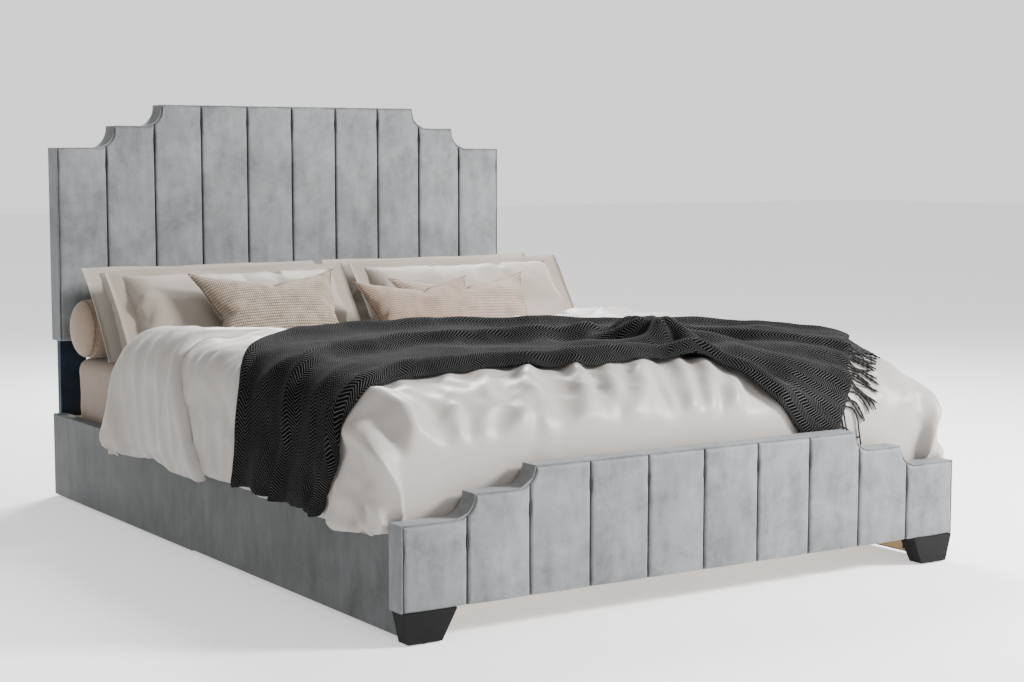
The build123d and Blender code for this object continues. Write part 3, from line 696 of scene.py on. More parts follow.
# ---------------------------------------------------------------- bolster
def make_bolster():
    """A round bolster, gathered towards the seam at each end."""
    low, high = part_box("bolster")
    cy, cz = (low[1] + high[1]) / 2, (low[2] + high[2]) / 2
    half, big = (high[0] - low[0]) / 2 - 0.001, (high[2] - low[2]) / 2 - 0.001
    seam, ring = 0.04, 120
    ds = [0.0, 0.0006, 0.002, 0.005, 0.009, 0.014, 0.02, 0.027, 0.034]
    ds += [0.0375, 0.04, 0.0425, 0.046, 0.052, 0.06]
    ds += list(np.linspace(0.07, half - 0.02, 70))
    xs = [-half + d for d in ds] + [half - d for d in ds[::-1]]
    verts, faces = [], []
    for x in xs:
        d = half - abs(x)
        r = big * (1 - (1 - min(d / 0.05, 1)) ** 2.7) ** 0.45 if d < 0.05 else big
        r = max(r, 0.004)
        for k in range(ring):
            a = 2 * math.pi * k / ring
            gather = noise.noise(Vector((math.cos(a) * 4.2, math.sin(a) * 4.2, 3 + x)))
            tuck = 0.5 + 0.5 * math.sin(a * 26 + 3 * gather)
            pull = math.exp(-abs(d - seam) / 0.03)
            rr = r - 0.0045 * math.exp(-(((d - seam) / 0.0035) ** 2)) * (r / big)
            rr -= 0.0035 * tuck * pull * (r / big)
            q = Vector((x * 5, math.cos(a) * 1.3, math.sin(a) * 1.3))
            rr -= 0.0022 * (1 + noise.fractal(q, 1.0, 2.0, 4)) * (r / big)
            verts.append((x, cy + rr * math.cos(a), max(cz + rr * math.sin(a), low[2] + 0.0006)))
    for i in range(len(xs) - 1):
        for k in range(ring):
            m = (k + 1) % ring
            faces.append((i * ring + k, i * ring + m, (i + 1) * ring + m, (i + 1) * ring + k))
    faces.append(tuple(range(ring))[::-1])
    faces.append(tuple(range(len(verts) - ring, len(verts))))
    ob = mesh_object("bolster_cushion", verts, faces, BOLSTER_MAT)
    declare(ob, "bolster", "bolster", "bolster_cotton")
    for side in (-1, 1):
        x = side * (half - seam)
        r = big - 0.0052
        path = [(x, cy + r * math.cos(a), cz + r * math.sin(a)) for a in np.linspace(0, 2 * math.pi, 90)]
        tag = "left" if side < 0 else "right"
        tube(f"bolster_cord_{tag}", path, 0.0016, BOLSTER_MAT, "bolster", "bolster_cotton")


make_bolster()


# ---------------------------------------------------------------- pillows and cushions
BAG_FRAMES, DUVET_FRAMES = 22, 34


def cloth(ob, stiff, bend, mass, gravity, pressure=0.0, grow=0.0, collide=False, quality=5):
    mod = ob.modifiers.new("cloth", "CLOTH")
    s = mod.settings
    s.quality = quality
    s.mass = mass
    s.air_damping = 1.0
    s.tension_stiffness = s.compression_stiffness = stiff
    s.shear_stiffness = stiff / 3
    s.bending_stiffness = bend
    s.tension_damping = s.compression_damping = s.shear_damping = 8
    s.shrink_min = s.shrink_max = -grow
    s.effector_weights.gravity = gravity
    if pressure:
        s.use_pressure = True
        s.uniform_pressure_force = pressure
    mod.collision_settings.use_collision = collide
    mod.collision_settings.distance_min = 0.004
    mod.collision_settings.friction = 25


def simulate(obs, frames):
    """Runs the cloth for some frames and keeps the shape it reached."""
    scene = bpy.context.scene
    for f in range(1, frames + 1):
        scene.frame_set(f)
    for ob in obs:
        apply_modifiers(ob)
    scene.frame_set(1)


def bag(name, width, height, mat, cell=0.0125):
    """Two faces sewn together round the rim, to blow up; in the pillow's own x, height and depth."""
    nu, nv = int(width / cell), int(height / cell)
    verts, uvs, faces, front, back = [], [], [], {}, {}
    for i in range(nu + 1):
        for j in range(nv + 1):
            u, v = 2 * i / nu - 1, 2 * j / nv - 1
            rim = i in (0, nu) or j in (0, nv)
            x, h = u * width / 2, v * height / 2
            pull_x = 0.02 * (1 - v * v) * u ** 8 * np.sign(u)
            pull_h = 0.018 * (1 - u * u) * v ** 8 * np.sign(v)
            p = (x - pull_x, h - pull_h)
            q = noise.noise(Vector((x * 14, h * 14, width * 9)))
            deep = 0.03 * ((1 - u ** 4) * (1 - v ** 4)) ** 0.5 * (1 + 0.25 * q)
            front[i, j] = len(verts)
            verts.append((p[0], p[1], 0 if rim else deep))
            uvs.append((x, h))
            if rim:
                back[i, j] = front[i, j]
            else:
                back[i, j] = len(verts)
                verts.append((p[0], p[1], -deep))
                uvs.append((x, h))
    for i in range(nu):
        for j in range(nv):
            c = [(i, j), (i + 1, j), (i + 1, j + 1), (i, j + 1)]
            faces.append([front[k] for k in c])
            faces.append([back[k] for k in c[::-1]])
    ob = mesh_object(name, verts, faces, mat, uv=uvs)
    rim = [(i, 0) for i in range(nu)] + [(nu, j) for j in range(nv)]
    rim += [(i, nv) for i in range(nu, 0, -1)] + [(0, j) for j in range(nv, 0, -1)]
    return ob, [front[k] for k in rim], np.array([(2 * i / nu - 1, 2 * j / nv - 1) for i, j in rim])


SLOPE = math.radians(52)    # how steeply the pillows stand


def stand(points, centre):
    """Own x, height, depth to the row frame, leaning back against what is behind."""
    x, h, n = points[:, 0], points[:, 1], points[:, 2]
    c, s = math.cos(SLOPE), math.sin(SLOPE)
    return np.column_stack([centre[0] + x, centre[1] + h * c - n * s, centre[2] + h * s + n * c])


PILLOW_SIZE = (0.782, 0.335, 0.136, (0.044, 0.019))
BAGS = [
    # node, material, slot, width, height, depth, flange at the sides and at top and bottom
    ("pillow_back_left", PILLOW_MAT, "pillow_back", *PILLOW_SIZE),
    ("pillow_back_right", PILLOW_MAT, "pillow_back", *PILLOW_SIZE),
    ("pillow_front_left", SHAM_MAT, "pillow_front", *PILLOW_SIZE),
    ("pillow_front_right", SHAM_MAT, "pillow_front", *PILLOW_SIZE),
    ("cushion_oatmeal", OAT, "cushion_oatmeal", 0.475, 0.335, 0.112, (0, 0)),
    ("cushion_plain", PLAIN, "cushion_plain", 0.50, 0.30, 0.075, (0, 0)),
    ("cushion_ribbed", RIBBED, "cushion_ribbed", 0.41, 0.30, 0.085, (0, 0)),
]


def raise_to(ob, z):
    """Nothing of the piece lies lower than z."""
    co = get_verts(ob)
    co[:, 2] = np.maximum(co[:, 2], z)
    set_verts(ob, co)


def flange_strip(co, rim, flat, seed):
    """Flat sewn border outside the seam, cut square at its corners, in the pillow's own axes."""
    n = len(rim)
    base = co[rim]
    verts, faces = [], []
    steps = (-0.10, 0.0, 0.35, 0.7, 1.0)
    for side in (1, -1):
        for s in steps:
            for k in range(n):
                p = base[k][:2] * (1 - s) + flat[k] * s
                q = Vector((p[0] * 5, p[1] * 5, seed))
                lift = max(s, 0) ** 1.3 * (0.007 * noise.noise(q) + 0.002 * noise.noise(q * 3.1))
                half = 0.0020 * (1 - 0.3 * max(s, 0)) + (0.0006 if s < 0.1 else 0)
                verts.append((p[0], p[1], base[k][2] * (1 - max(s, 0) * 0.8) + lift + side * half))
    m = len(steps)
    for side in (0, 1):
        for i in range(m - 1):
            for k in range(n):
                a, b = (side * m + i) * n, (side * m + i + 1) * n
                f = (a + k, b + k, b + (k + 1) % n, a + (k + 1) % n)
                faces.append(f if side == 0 else f[::-1])
    for i in (0, m - 1):
        for k in range(n):
            a, b = i * n, (m + i) * n
            f = (a + k, a + (k + 1) % n, b + (k + 1) % n, b + k)
            faces.append(f if i else f[::-1])
    return verts, faces


def square_up(co, rim, flat):
    """Draws the rim most of the way back to straight sides, as a sewn border holds it."""
    co = co.copy()
    for axis, other in ((0, 1), (1, 0)):
        for side in (-1, 1):
            at = np.array([k for k, f in zip(rim, flat) if f[axis] == side])
            order = np.argsort(co[at, other])
            edge = np.interp(co[:, other], co[at[order], other], np.abs(co[at[order], axis]))
            far = np.abs(co[at, axis]).max()
            grow = 1 + 0.8 * (far / edge - 1)
            share = smoothstep(0.25, 0.9, np.abs(co[:, axis]) / edge)
            co[:, axis] *= np.where(np.sign(co[:, axis]) == side, 1 + (grow - 1) * share, 1)
    return co


def make_bags():
    """Blows up every pillow and cushion, sets it to its CAD size and adds its border and seam."""
    made = []
    for node, mat, slot, width, height, deep, flange in BAGS:
        ob, rim, flat = bag(f"{node}_bag", width - 2 * flange[0], height - 2 * flange[1], mat)
        cloth(ob, stiff=12, bend=0.08, mass=0.12, pressure=7.0, gravity=0.0)
        made.append((ob, rim, flat))
    simulate([m[0] for m in made], BAG_FRAMES)
    for (ob, rim, flat), (node, mat, slot, width, height, deep, flange) in zip(made, BAGS):
        co = get_verts(ob)
        low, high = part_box(node)
        centre = [(a + b) / 2 for a, b in zip(low, high)]
        want = (width - 2 * flange[0], height - 2 * flange[1], deep)
        co -= (co.max(axis=0) + co.min(axis=0)) / 2
        if flange[0]:
            co = square_up(co, rim, flat)
        co *= np.array(want) / np.ptp(co, axis=0)
        q = np.column_stack([co[:, 0] * 3.2, co[:, 1] * 7, co[:, 2] * 4])
        crease = fractal(q, 2.0, 3, centre[0] * 7)
        sidew = np.sign(co[:, 2]) * smoothstep(0, 0.02, np.abs(co[:, 2]))
        co[:, 2] += sidew * 0.0035 * crease
        set_verts(ob, stand(co, centre))
        subdivide(ob, 1)
        if flange[0]:
            bow = 1 - 0.016 * (1 - flat[:, ::-1] ** 2)
            cut = flat * np.array([width / 2, height / 2]) * bow
            verts, faces = flange_strip(co, rim, cut, centre[0] * 5 + centre[1])
            strip = mesh_object(f"{node}_flange", stand(np.array(verts), centre), faces, mat)
            raise_to(strip, low[2] + 0.0008)
            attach(strip, node)
            seam = stand(co[rim] * np.array([1.002, 1.004, 1]), centre)
        else:
            seam = stand(co[rim], centre)
        raise_to(ob, low[2] + 0.0006)
        seam[:, 2] = np.maximum(seam[:, 2], low[2] + 0.003)
        tube(f"{node}_seam", list(seam) + [seam[0]], 0.0017, mat, node, slot)
        declare(ob, node, node, slot)


make_bags()


# ---------------------------------------------------------------- duvet
SIDE, TOP, SHOULDER = 0.830, 0.550, 0.085      # block under the duvet's outer face
FALL_START, FALL_LONG, FALL_DEEP = -0.66, 0.372, 0.165
HEAD_END, HEAD_TOP = 0.66, 0.44                # head edge at the hem, and on top
NOTCH = (-0.625, 0.578, 0.208)                 # left, right and foot side of the room for the cushions
FLAT = SIDE - SHOULDER
ARC = SHOULDER * math.pi / 2
REACH = 1.075                                  # u at the hems
OFF = 0.012
TOP_POINTS, FALL_POINTS, TUCK_POINTS = 40, 60, 20
BEND = TOP_POINTS + FALL_POINTS - 1            # last point before it hangs straight down
TUCK = 0.15                                    # how far it hangs behind the footboard
FOOT_LINE = -1.03                              # y where the duvet meets the footboard
DUVET_FOOT, UNDER_FOOT = -1.040, -1.0195       # furthest y of its face, nearest of its underside
OUTSIDE_RAIL = 0.8165                          # x of the drape's underside


def fall_line():
    """Lengthwise profile from the head end to behind the footboard, with its running length."""
    ys = list(np.linspace(HEAD_END, FALL_START, TOP_POINTS))
    zs = [TOP + 0.012 * math.sin(math.pi * (HEAD_END - y) / (HEAD_END - FALL_START)) for y in ys]
    for k in range(1, FALL_POINTS + 1):
        a = k / FALL_POINTS * math.pi / 2
        ys.append(FALL_START - FALL_LONG * math.sin(a))
        zs.append(TOP - FALL_DEEP * (1 - math.cos(a)))
    for k in range(1, TUCK_POINTS + 1):
        ys.append(ys[BEND])
        zs.append(zs[BEND] - TUCK * k / TUCK_POINTS)
    ys, zs = np.array(ys), np.array(zs)
    run = np.concatenate([[0], np.cumsum(np.hypot(np.diff(ys), np.diff(zs)))])
    return run, ys, zs


RUN, LINE_Y, LINE_Z = fall_line()


def t_of(y):
    """Running length at which the profile passes y."""
    return np.interp(-np.asarray(y), -LINE_Y[:BEND + 1], RUN[:BEND + 1])


def hem_height(y):
    """Height of the side hem above the floor, which wavers along the bed."""
    return 0.272 + 0.008 * np.sin(y * 9.0 + 1.0) + 0.005 * np.sin(y * 23.0)


def wrap(u, t, off):
    """A point of the cloth, u across and t along, laid over the block."""
    y0, z0 = np.interp(t, RUN, LINE_Y), np.interp(t, RUN, LINE_Z)
    dy, dz = (np.interp(t + 0.01, RUN, line) - np.interp(t - 0.01, RUN, line)
              for line in (LINE_Y, LINE_Z))
    size = np.hypot(dy, dz) + 1e-9
    ny, nz = dz / size, -dy / size
    a = np.abs(u)
    span = np.maximum(z0 - SHOULDER - hem_height(y0), 0.03)
    s = np.where(a < FLAT, a, FLAT + (a - FLAT) / (REACH - FLAT) * (ARC + span))
    turn = np.clip((s - FLAT) / SHOULDER, 0, math.pi / 2)
    x = np.where(s < FLAT, s, FLAT + SHOULDER * np.sin(turn))
    drop = np.where(s < FLAT, 0, SHOULDER * (1 - np.cos(turn))) + np.maximum(s - FLAT - ARC, 0)
    crown = 0.010 * (1 - (a / FLAT) ** 2) * (a < FLAT)
    px = np.sign(u) * (x + np.sin(turn) * off)
    py = y0 + ny * off * np.cos(turn)
    pz = z0 - drop + crown + nz * off * np.cos(turn)
    return np.stack([px, py, pz], axis=-1)


def head_edge(u):
    """y of the head end, which reaches further towards the head down the sides."""
    return HEAD_TOP + (HEAD_END - HEAD_TOP) * smoothstep(0.78, 1.04, np.abs(u))


NU, NT = 117, 112
GRID_U = np.linspace(-REACH, REACH, NU)
PART = np.linspace(0, 1, NT)


def t_range(u):
    """Where the cloth starts at the head and ends behind the footboard, at any u."""
    return t_of(head_edge(u)), RUN[BEND] + 0.11 - 0.08 * smoothstep(0.80, 0.95, np.abs(u))


def grid_t(u):
    start, foot = t_range(u)
    return start + PART * (foot - start)


def smooth_grid(p, times):
    """Averages each point with its neighbours, leaving the border where it is."""
    for _ in range(times):
        q = p.copy()
        q[1:-1] += p[:-2] + p[2:]
        q[1:-1] /= 3
        r = q.copy()
        r[:, 1:-1] += q[:, :-2] + q[:, 2:]
        r[:, 1:-1] /= 3
        p = r
    return p


def grid_normals(p):
    du = np.gradient(p, axis=0)
    dt = np.gradient(p, axis=1)
    n = np.cross(dt, du)
    return n / (np.linalg.norm(n, axis=2)[..., None] + 1e-9)


def grid_faces(nu, nt, keep=None):
    """Quads of a grid of nu by nt points, of the kept cells only."""
    faces = []
    for i in range(nu - 1):
        for j in range(nt - 1):
            if keep is None or keep[i, j]:
                a = i * nt + j
                faces.append((a, a + 1, a + nt + 1, a + nt))
    return faces


def fold(u, t, u0, t0, u1, t1, width, height, sharp):
    """A ridge along one line of the cloth, fading at both ends."""
    du, dt = u1 - u0, t1 - t0
    size = math.hypot(du, dt)
    along = ((u - u0) * du + (t - t0) * dt) / size ** 2
    away = ((u - u0) * dt - (t - t0) * du) / size
    fade = smoothstep(-0.12, 0.25, along) * smoothstep(1.12, 0.75, along)
    return height * fade * np.exp(-np.abs(away / width) ** (2 / sharp))


def block():
    """The mattress and filling under the duvet's face, as a solid for the cloth to lie on."""
    past = 0.2
    us = np.concatenate([np.linspace(-REACH - past, -FLAT, 20), np.linspace(-FLAT, FLAT, 24)[1:-1],
                         np.linspace(FLAT, REACH + past, 20)])
    ts = np.linspace(0, RUN[-1], 120)
    uu, tt = np.meshgrid(us, ts, indexing="ij")
    p = wrap(uu, tt, 0.0)
    ob = mesh_object("duvet_block", p.reshape(-1, 3), grid_faces(len(us), len(ts)))
    ob.modifiers.new("hit", "COLLISION")
    ob.collision.thickness_outer = 0.003
    ob.collision.cloth_friction = 20
    return ob


def simulate_duvet():
    """Lets the cloth settle over the block and behind the footboard; returns its u, t and points."""
    uu = np.repeat(GRID_U[:, None], NT, axis=1)
    tt = np.array([grid_t(u) for u in GRID_U])
    p = wrap(uu, tt, OFF)
    flat = p.reshape(-1, 3)
    n = grid_normals(p)
    seed = fractal(flat * np.array([1.0, 1.4, 1.0]), 5.0, 3, 4.2).reshape(NU, NT)
    p = p + n * (0.004 + 0.004 * seed)[..., None]
    ob = mesh_object("duvet_sim", p.reshape(-1, 3), grid_faces(NU, NT))
    base = block()
    lo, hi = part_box("footboard_channels")
    wall_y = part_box("footboard_edge_band")[1][1] + 0.004
    crest = crest_of("footboard_core")
    xs = np.linspace(lo[0], hi[0], 90)
    verts = []
    for x in xs:
        z = crest(min(max(x, lo[0] + 0.01), hi[0] - 0.01))
        verts += [(x, wall_y, 0.0), (x, wall_y, z), (x, lo[1], z), (x, lo[1], 0.0)]
    faces = [(4 * i + k, 4 * i + (k + 1) % 4, 4 * i + 4 + (k + 1) % 4, 4 * i + 4 + k)
             for i in range(len(xs) - 1) for k in range(4)]
    wall = mesh_object("footboard_stop", verts, faces, smooth=False)
    wall.modifiers.new("hit", "COLLISION")
    wall.collision.thickness_outer = 0.002
    cloth(ob, stiff=18, bend=1.2, mass=0.35, gravity=1.0, grow=0.03, collide=True, quality=7)
    simulate([ob], DUVET_FRAMES)
    p = get_verts(ob).reshape(NU, NT, 3)
    for o in (ob, base, wall):
        bpy.data.objects.remove(o)
    return uu, tt, p


def layers(name, p, inner, uv, keep, mat):
    """A closed mesh from an outer and an inner grid, over the kept cells."""
    nu, nt = p.shape[:2]
    n = nu * nt
    faces, edges = [], {}
    for a, b, c, d in grid_faces(nu, nt, keep):
        faces.append((a, b, c, d))
        faces.append((a + n, d + n, c + n, b + n))
        for e in ((a, b), (b, c), (c, d), (d, a)):
            edges[e] = True
    for a, b in edges:
        if (b, a) not in edges:
            faces.append((b, a, a + n, b + n))
    verts = np.concatenate([p.reshape(-1, 3), inner.reshape(-1, 3)])
    uvs = np.concatenate([uv.reshape(-1, 2), uv.reshape(-1, 2)])
    used = sorted({i for f in faces for i in f})
    back = {v: i for i, v in enumerate(used)}
    return mesh_object(name, verts[used], [[back[i] for i in f] for f in faces], mat, uv=uvs[used])


def edge_distance(keep, p):
    """How far each grid point is from the cut edge of the cloth, in metres, up to 12 cm."""
    nu, nt = p.shape[:2]
    inside = np.zeros((nu, nt), bool)
    inside[1:-1, 1:-1] = keep[:-1, :-1] & keep[1:, :-1] & keep[:-1, 1:] & keep[1:, 1:]
    dist = np.where(inside, 9.0, 0.0)
    for _ in range(9):
        for axis in (0, 1):
            gap = np.linalg.norm(np.diff(p, axis=axis), axis=2)
            if axis == 0:
                dist[1:] = np.minimum(dist[1:], dist[:-1] + gap)
                dist[:-1] = np.minimum(dist[:-1], dist[1:] + gap)
            else:
                dist[:, 1:] = np.minimum(dist[:, 1:], dist[:, :-1] + gap)
                dist[:, :-1] = np.minimum(dist[:, :-1], dist[:, 1:] + gap)
    return np.minimum(dist, 0.12)


def crease_cloth(ob, height, shift):
    """Thin, branching creases on the faces that show, left off the side that lies on the bed."""
    co = get_verts(ob)
    nor = np.empty(len(co) * 3)
    ob.data.vertices.foreach_get("normal", nor)
    nor = nor.reshape(-1, 3)
    side = nor[:, 0] * np.sign(co[:, 0]) * (np.abs(co[:, 0]) > 0.7)
    foot = -nor[:, 1] * (co[:, 1] < -0.9)
    shown = smoothstep(-0.05, 0.25, np.maximum(np.maximum(nor[:, 2], side), foot))
    shown *= 1 - smoothstep(-0.99, -1.03, co[:, 1])
    warp = fractal(co, 2.2, 2, shift)
    q = np.column_stack([co[:, 0] * 5.5 + 1.6 * warp, co[:, 1] * 5.5 - 1.6 * warp, co[:, 2] * 2.5])
    ridge = np.maximum(0, 1 - 2.6 * np.abs(fractal(q, 1.0, 2, shift + 3)))
    where = smoothstep(-0.25, 0.25, fractal(co, 1.9, 2, shift + 7))
    co += nor * (height * ridge ** 2 * shown * (0.35 + 0.65 * where))[:, None]
    set_verts(ob, co)


def fold_lines():
    """Folds: u and y of both ends, how much further on it runs, width, height and sharpness."""
    lines = [
        (-0.84, -0.84, -0.79, FOOT_LINE, 0.12, 0.017, 0.042, 1.3),
        (-0.74, -0.82, -0.70, FOOT_LINE, 0.06, 0.018, 0.024, 1.0),
        (-0.79, -0.84, -0.745, FOOT_LINE, 0.08, 0.016, -0.016, 1.0),
        (0.86, -0.72, 0.79, FOOT_LINE, 0.10, 0.018, 0.034, 1.3),
        (0.81, -0.76, 0.745, FOOT_LINE, 0.10, 0.018, -0.016, 1.0),
        (0.96, -0.60, 0.93, -0.98, 0, 0.020, 0.018, 1.0),
    ]
    for k, u in enumerate((-0.42, -0.30, -0.19, -0.08, 0.02, 0.12, 0.21, 0.31)):
        lean = 0.17 + 0.05 * math.sin(k * 2.1)
        lines.append((u, -0.78, u - lean, FOOT_LINE, 0, 0.017, 0.014 + 0.005 * (k % 3), 1.0))
    for k, y in enumerate((-0.15, 0.02, 0.16, 0.30)):
        lines.append((-0.78, y, -1.03, y + 0.10, 0, 0.022, 0.007 + 0.003 * (k % 2), 1.0))
    for k in range(5):
        y = 0.10 - 0.06 * k
        ends = (-0.62 + 0.12 * k, y + 0.05, -0.30 + 0.13 * k, y - 0.05)
        lines.append((*ends, 0, 0.016, 0.007, 1.0))
    for k, ends in enumerate(((-0.90, -0.78, -1.06, -0.86), (-0.88, -0.72, -1.06, -0.62),
                              (0.60, -0.30, 0.90, -0.55), (0.50, -0.15, 0.95, -0.30),
                              (0.60, 0.05, 1.00, 0.0), (0.62, 0.25, 1.0, 0.28))):
        lines.append((*ends, 0, 0.022, 0.012 + 0.004 * (k % 2), 1.0))
    return lines


def ridges(a, b, c, shift, narrow):
    """Thin creases over the duvet's grid, 0 to 1, from noise in three stretched coordinates."""
    streaks = np.stack([a, b, c], axis=-1).reshape(-1, 3)
    ridge = 1 - np.abs(fractal(streaks, 1.0, 3, shift)).reshape(NU, NT) * narrow
    return np.maximum(ridge, 0) ** 3


def underside(p):
    """Inner grid of the duvet, flat on the sheet, and how far each point lies on the bed, 0 to 1."""
    soft = smooth_grid(p, 8)
    inward = grid_normals(soft)
    inner = soft - inward * 0.030
    flat_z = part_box("fitted_sheet")[1][2] + 0.0022
    on_bed = smoothstep(0.80, 0.74, np.abs(soft[..., 0])) * smoothstep(-1.045, -1.0, soft[..., 1])
    inner[..., 2] = inner[..., 2] * (1 - on_bed) + flat_z * on_bed
    side = np.abs(soft[..., 0]) > 0.80
    outward = np.sign(inner[..., 0]) * np.maximum(np.abs(inner[..., 0]), OUTSIDE_RAIL)
    inner[..., 0] = np.where(side, outward, inner[..., 0])
    foot = (soft[..., 1] < -0.99) & (inner[..., 2] < 0.445)
    inner[..., 1] = np.where(foot, np.minimum(inner[..., 1], UNDER_FOOT), inner[..., 1])
    inner[..., 2] = np.maximum(inner[..., 2], 0.240 + 0.024 * smoothstep(-0.12, 0.0, inner[..., 1]))
    return inner, on_bed


def close_edges(p, inner, keep, on_bed):
    """Rounds both faces towards each other along the cut edges, as a filled, sewn edge is."""
    d = edge_distance(keep, p)
    thick = np.linalg.norm(p - inner, axis=2)
    r = np.clip(thick * 0.62, 0.012, 0.075)
    f = 1 - np.clip(d / r, 0, 1)
    drop = (thick * 0.46) * (1 - np.sqrt(np.maximum(0, 1 - f * f)))
    way = (inner - p) / (thick[..., None] + 1e-9)
    p = p + way * drop[..., None]
    lift = np.where(on_bed > 0.5, 0, drop * 0.8)
    inner = inner - way * lift[..., None]
    return p, inner


def make_duvet():
    """The simulated cloth with its folds and creases, thickened and cut out for the cushions."""
    uu, tt, p = simulate_duvet()
    n = grid_normals(smooth_grid(p, 3))
    extra = 0
    for u0, y0, u1, y1, on, width, height, sharp in fold_lines():
        extra = extra + fold(uu, tt, u0, t_of(y0), u1, t_of(y1) + on, width, height, sharp)
    flow = uu * 9.5 + 0.5 * np.sin(tt * 5.0) + 2.6 * (tt - t_of(-0.8))
    extra += 0.020 * ridges(flow, tt * 1.1, 0 * tt, 3.3, 1.6) * smoothstep(t_of(-0.66), t_of(-0.88), tt)
    flow = tt * 6.0 + 0.6 * np.sin(uu * 6.0)
    extra += 0.013 * ridges(flow, uu * 1.3, 0 * tt + 5, 9.3, 1.6) * smoothstep(0.66, 0.86, np.abs(uu))
    extra += 0.011 * ridges(uu * 4 + tt * 3, tt * 7 - uu * 2, 0 * tt + 2, 1.3, 1.7)
    small = fractal(p.reshape(-1, 3) * np.array([1.0, 1.0, 1.3]), 9.0, 3, 2.0).reshape(NU, NT)
    tucked = smoothstep(t_of(-0.985), t_of(FOOT_LINE) + 0.03, tt)
    extra *= 1 - 0.8 * tucked * (np.abs(uu) < 0.78)
    p = p + n * (extra + 0.0022 * small)[..., None]
    p[..., 1] = np.where(np.abs(uu) < 0.8, np.maximum(p[..., 1], DUVET_FOOT), p[..., 1])

    crest = crest_of("footboard_core")
    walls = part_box("footboard_edge_band")
    inside_y = walls[1][1] + 0.006
    top = np.array([[crest(x) if abs(x) < 0.828 else -1 for x in p[i, :, 0]] for i in range(NU)])
    hit = (p[..., 2] < top + 0.012) & (p[..., 1] < inside_y)
    p[..., 1] = np.where(hit, inside_y, p[..., 1])
    p[..., 2] = np.maximum(p[..., 2], 0.232 + 0.028 * smoothstep(-0.12, 0.0, p[..., 1]))

    keep = np.ones((NU - 1, NT - 1), bool)
    cx = (GRID_U[:-1] + GRID_U[1:]) / 2
    cy = np.array([np.interp((row[:-1] + row[1:]) / 2, RUN, LINE_Y) for row in tt])[:-1]
    keep &= ~((cx[:, None] > NOTCH[0]) & (cx[:, None] < NOTCH[1]) & (cy > NOTCH[2]))

    inner, on_bed = underside(p)
    p, inner = close_edges(p, inner, keep, on_bed)
    uv = np.stack([uu, tt], axis=-1)
    ob = layers("duvet_body", p, inner, uv, keep, DUVET_MAT)
    subdivide(ob, 1)
    crease_cloth(ob, 0.0050, 2.0)
    declare(ob, "duvet", "duvet", "duvet_sateen")
    return p


DUVET_P = make_duvet()


def sample(grid, u, t):
    """Bilinear reading of a duvet grid at any u and t."""
    start, foot = t_range(u)
    i = np.clip((u + REACH) / (2 * REACH) * (NU - 1), 0, NU - 1.001)
    j = np.clip((t - start) / (foot - start) * (NT - 1), 0, NT - 1.001)
    i0, j0 = i.astype(int), j.astype(int)
    fi, fj = (i - i0)[..., None], (j - j0)[..., None]
    a = grid[i0, j0] * (1 - fi) + grid[i0 + 1, j0] * fi
    b = grid[i0, j0 + 1] * (1 - fi) + grid[i0 + 1, j0 + 1] * fi
    return a * (1 - fj) + b * fj


def along_t(y):
    """Running length at any y, carried on past the foot line where the profile turns down."""
    return t_of(np.maximum(y, FOOT_LINE)) + np.maximum(0, FOOT_LINE - y) * 2.5


def on_duvet(s, y, height, base, normals):
    """Points at a height over the duvet, s across and y along; past the hem they hang on down."""
    t = along_t(y)
    z0 = np.interp(t, RUN, LINE_Z)
    y0 = np.interp(t, RUN, LINE_Y)
    span = np.maximum(z0 - SHOULDER - hem_height(y0), 0.03)
    a = np.abs(s)
    u = np.where(a < FLAT, a, FLAT + (a - FLAT) * (REACH - FLAT) / (ARC + span))
    past = np.maximum(u - REACH, 0) * (ARC + span) / (REACH - FLAT)
    u = np.minimum(u, REACH) * np.sign(s)
    p = sample(base, u, t)
    n = sample(normals, u, t)
    n /= np.linalg.norm(n, axis=-1)[..., None] + 1e-9
    p = p + n * np.asarray(height)[..., None]
    p[..., 2] -= past
    return p


def push_off(p, tree, gap, rounds=3):
    """Moves points out to at least a gap above a surface."""
    flat = p.reshape(-1, 3)
    for _ in range(rounds):
        for i, q in enumerate(flat):
            loc, normal, _, _ = tree.find_nearest(Vector(q), 0.08)
            if loc is None:
                continue
            side = (Vector(q) - loc).dot(normal)
            if side < gap:
                flat[i] = np.array(Vector(q) + normal * (gap - side))
    return flat.reshape(p.shape)


BASE = smooth_grid(DUVET_P, 3)
BASE_N = grid_normals(smooth_grid(DUVET_P, 6))


